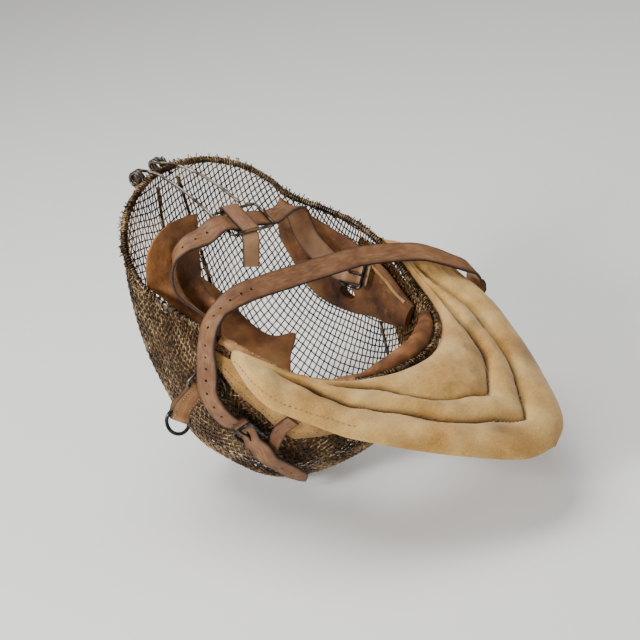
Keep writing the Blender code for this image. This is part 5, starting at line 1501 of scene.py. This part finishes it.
def lining():
    """The canvas lining behind the mesh of the left cheek, which shows between the wires: soiled in random patches, and
    coloured dark as painted shade behind the mesh.
    """
    turns = np.linspace(1.12, 1.76, 90)
    shares = np.linspace(0.0, 1.0, 30)
    grid = []
    for turn in turns:
        deep = 0.30 + 0.16 * math.sin((turn - 1.12) / 0.64 * math.pi)
        grid.append([mesh_at(turn, 0.03 + (deep - 0.03) * share, -(MESH_WALL / 2 + 0.0012)) for share in shares])
    high = np.array(grid)
    inward = -unit(high - np.array([0.0, -0.3 * MESH_DEPTH, NOSE_DOWN]))
    low = high + inward * (0.0011 + 0.0004 * np.abs(crease(high, 1.0, 111)))[..., None]
    stain_and_shade = np.clip(0.25 + 0.4 * ripple(high, 0.03, 114), 0, 0.7)
    uv = np.stack([run_length(high[:, 12])[:, None] * np.ones((1, len(shares))), shares[None] * 0.05 * np.ones((len(grid), 1))], -1)
    made = keep(slab("cheek_lining", low, high, uv, {"stain_and_shade": stain_and_shade}), "lining_canvas")


def room():
    """A pale floor, a big soft light overhead, a smaller one at the front left, and the camera."""
    floor = new_floor()
    for name, place, size, power in (
        ("overhead", (-0.35, 0.25, 1.60), 1.1, 26.0),
        ("front_left", (-1.25, -1.05, 1.00), 0.5, 32.0),
        ("right", (1.50, -0.30, 0.80), 0.7, 5.0),
    ):
        light = bpy.data.lights.new(name, "AREA")
        light.size = size
        light.energy = power
        made = bpy.data.objects.new(name, light)
        made.location = place
        made.rotation_euler = (Vector((0.0, 0.0, 0.10)) - Vector(place)).to_track_quat("-Z", "Y").to_euler()
        bpy.context.scene.collection.objects.link(made)
    world = bpy.data.worlds.new("studio")
    world.use_nodes = True
    world.node_tree.nodes["Background"].inputs["Color"].default_value = tone("#F2F2F0")
    world.node_tree.nodes["Background"].inputs["Strength"].default_value = 0.27
    bpy.context.scene.world = world
    lens = bpy.data.cameras.new("camera")
    lens.lens = 104.06
    lens.sensor_width = 36.0
    camera = bpy.data.objects.new("camera", lens)
    camera.location = ORIGIN + np.array(CAMERA_PLACE)
    camera.rotation_euler = [math.radians(a) for a in CAMERA_TURN]
    bpy.context.scene.collection.objects.link(camera)
    bpy.context.scene.camera = camera


def new_floor():
    mesh = bpy.data.meshes.new("floor")
    reach = 4.0
    mesh.from_pydata([(-reach, -reach, 0), (reach, -reach, 0), (reach, reach, 0), (-reach, reach, 0)], [], [(0, 1, 2, 3)])
    made, _, shader = blank_material("matt_paper", Roughness=0.9, Specular_IOR_Level=0.2)
    shader.inputs["Base Color"].default_value = tone("#F1F0EE")
    mesh.materials.append(made)
    floor = bpy.data.objects.new("floor", mesh)
    bpy.context.scene.collection.objects.link(floor)
    return floor


def main():
    woven_wires("weave_across", upright=False)
    woven_wires("weave_down", upright=True)
    bound_rim()
    rim_edging()
    ribs()
    spring_arms()
    strap_frame()
    keeper()
    head_strap()
    neck_strap()
    buckle("neck_buckle", "neck_prong", *neck_buckle_axes())
    buckle("head_buckle", "head_prong", *head_buckle_axes())
    chapes()
    ring_and_tab()
    right_pad()
    left_pad()
    ear_flap()
    chin_roll()
    bib()
    gusset()
    lining()
    room()


main()
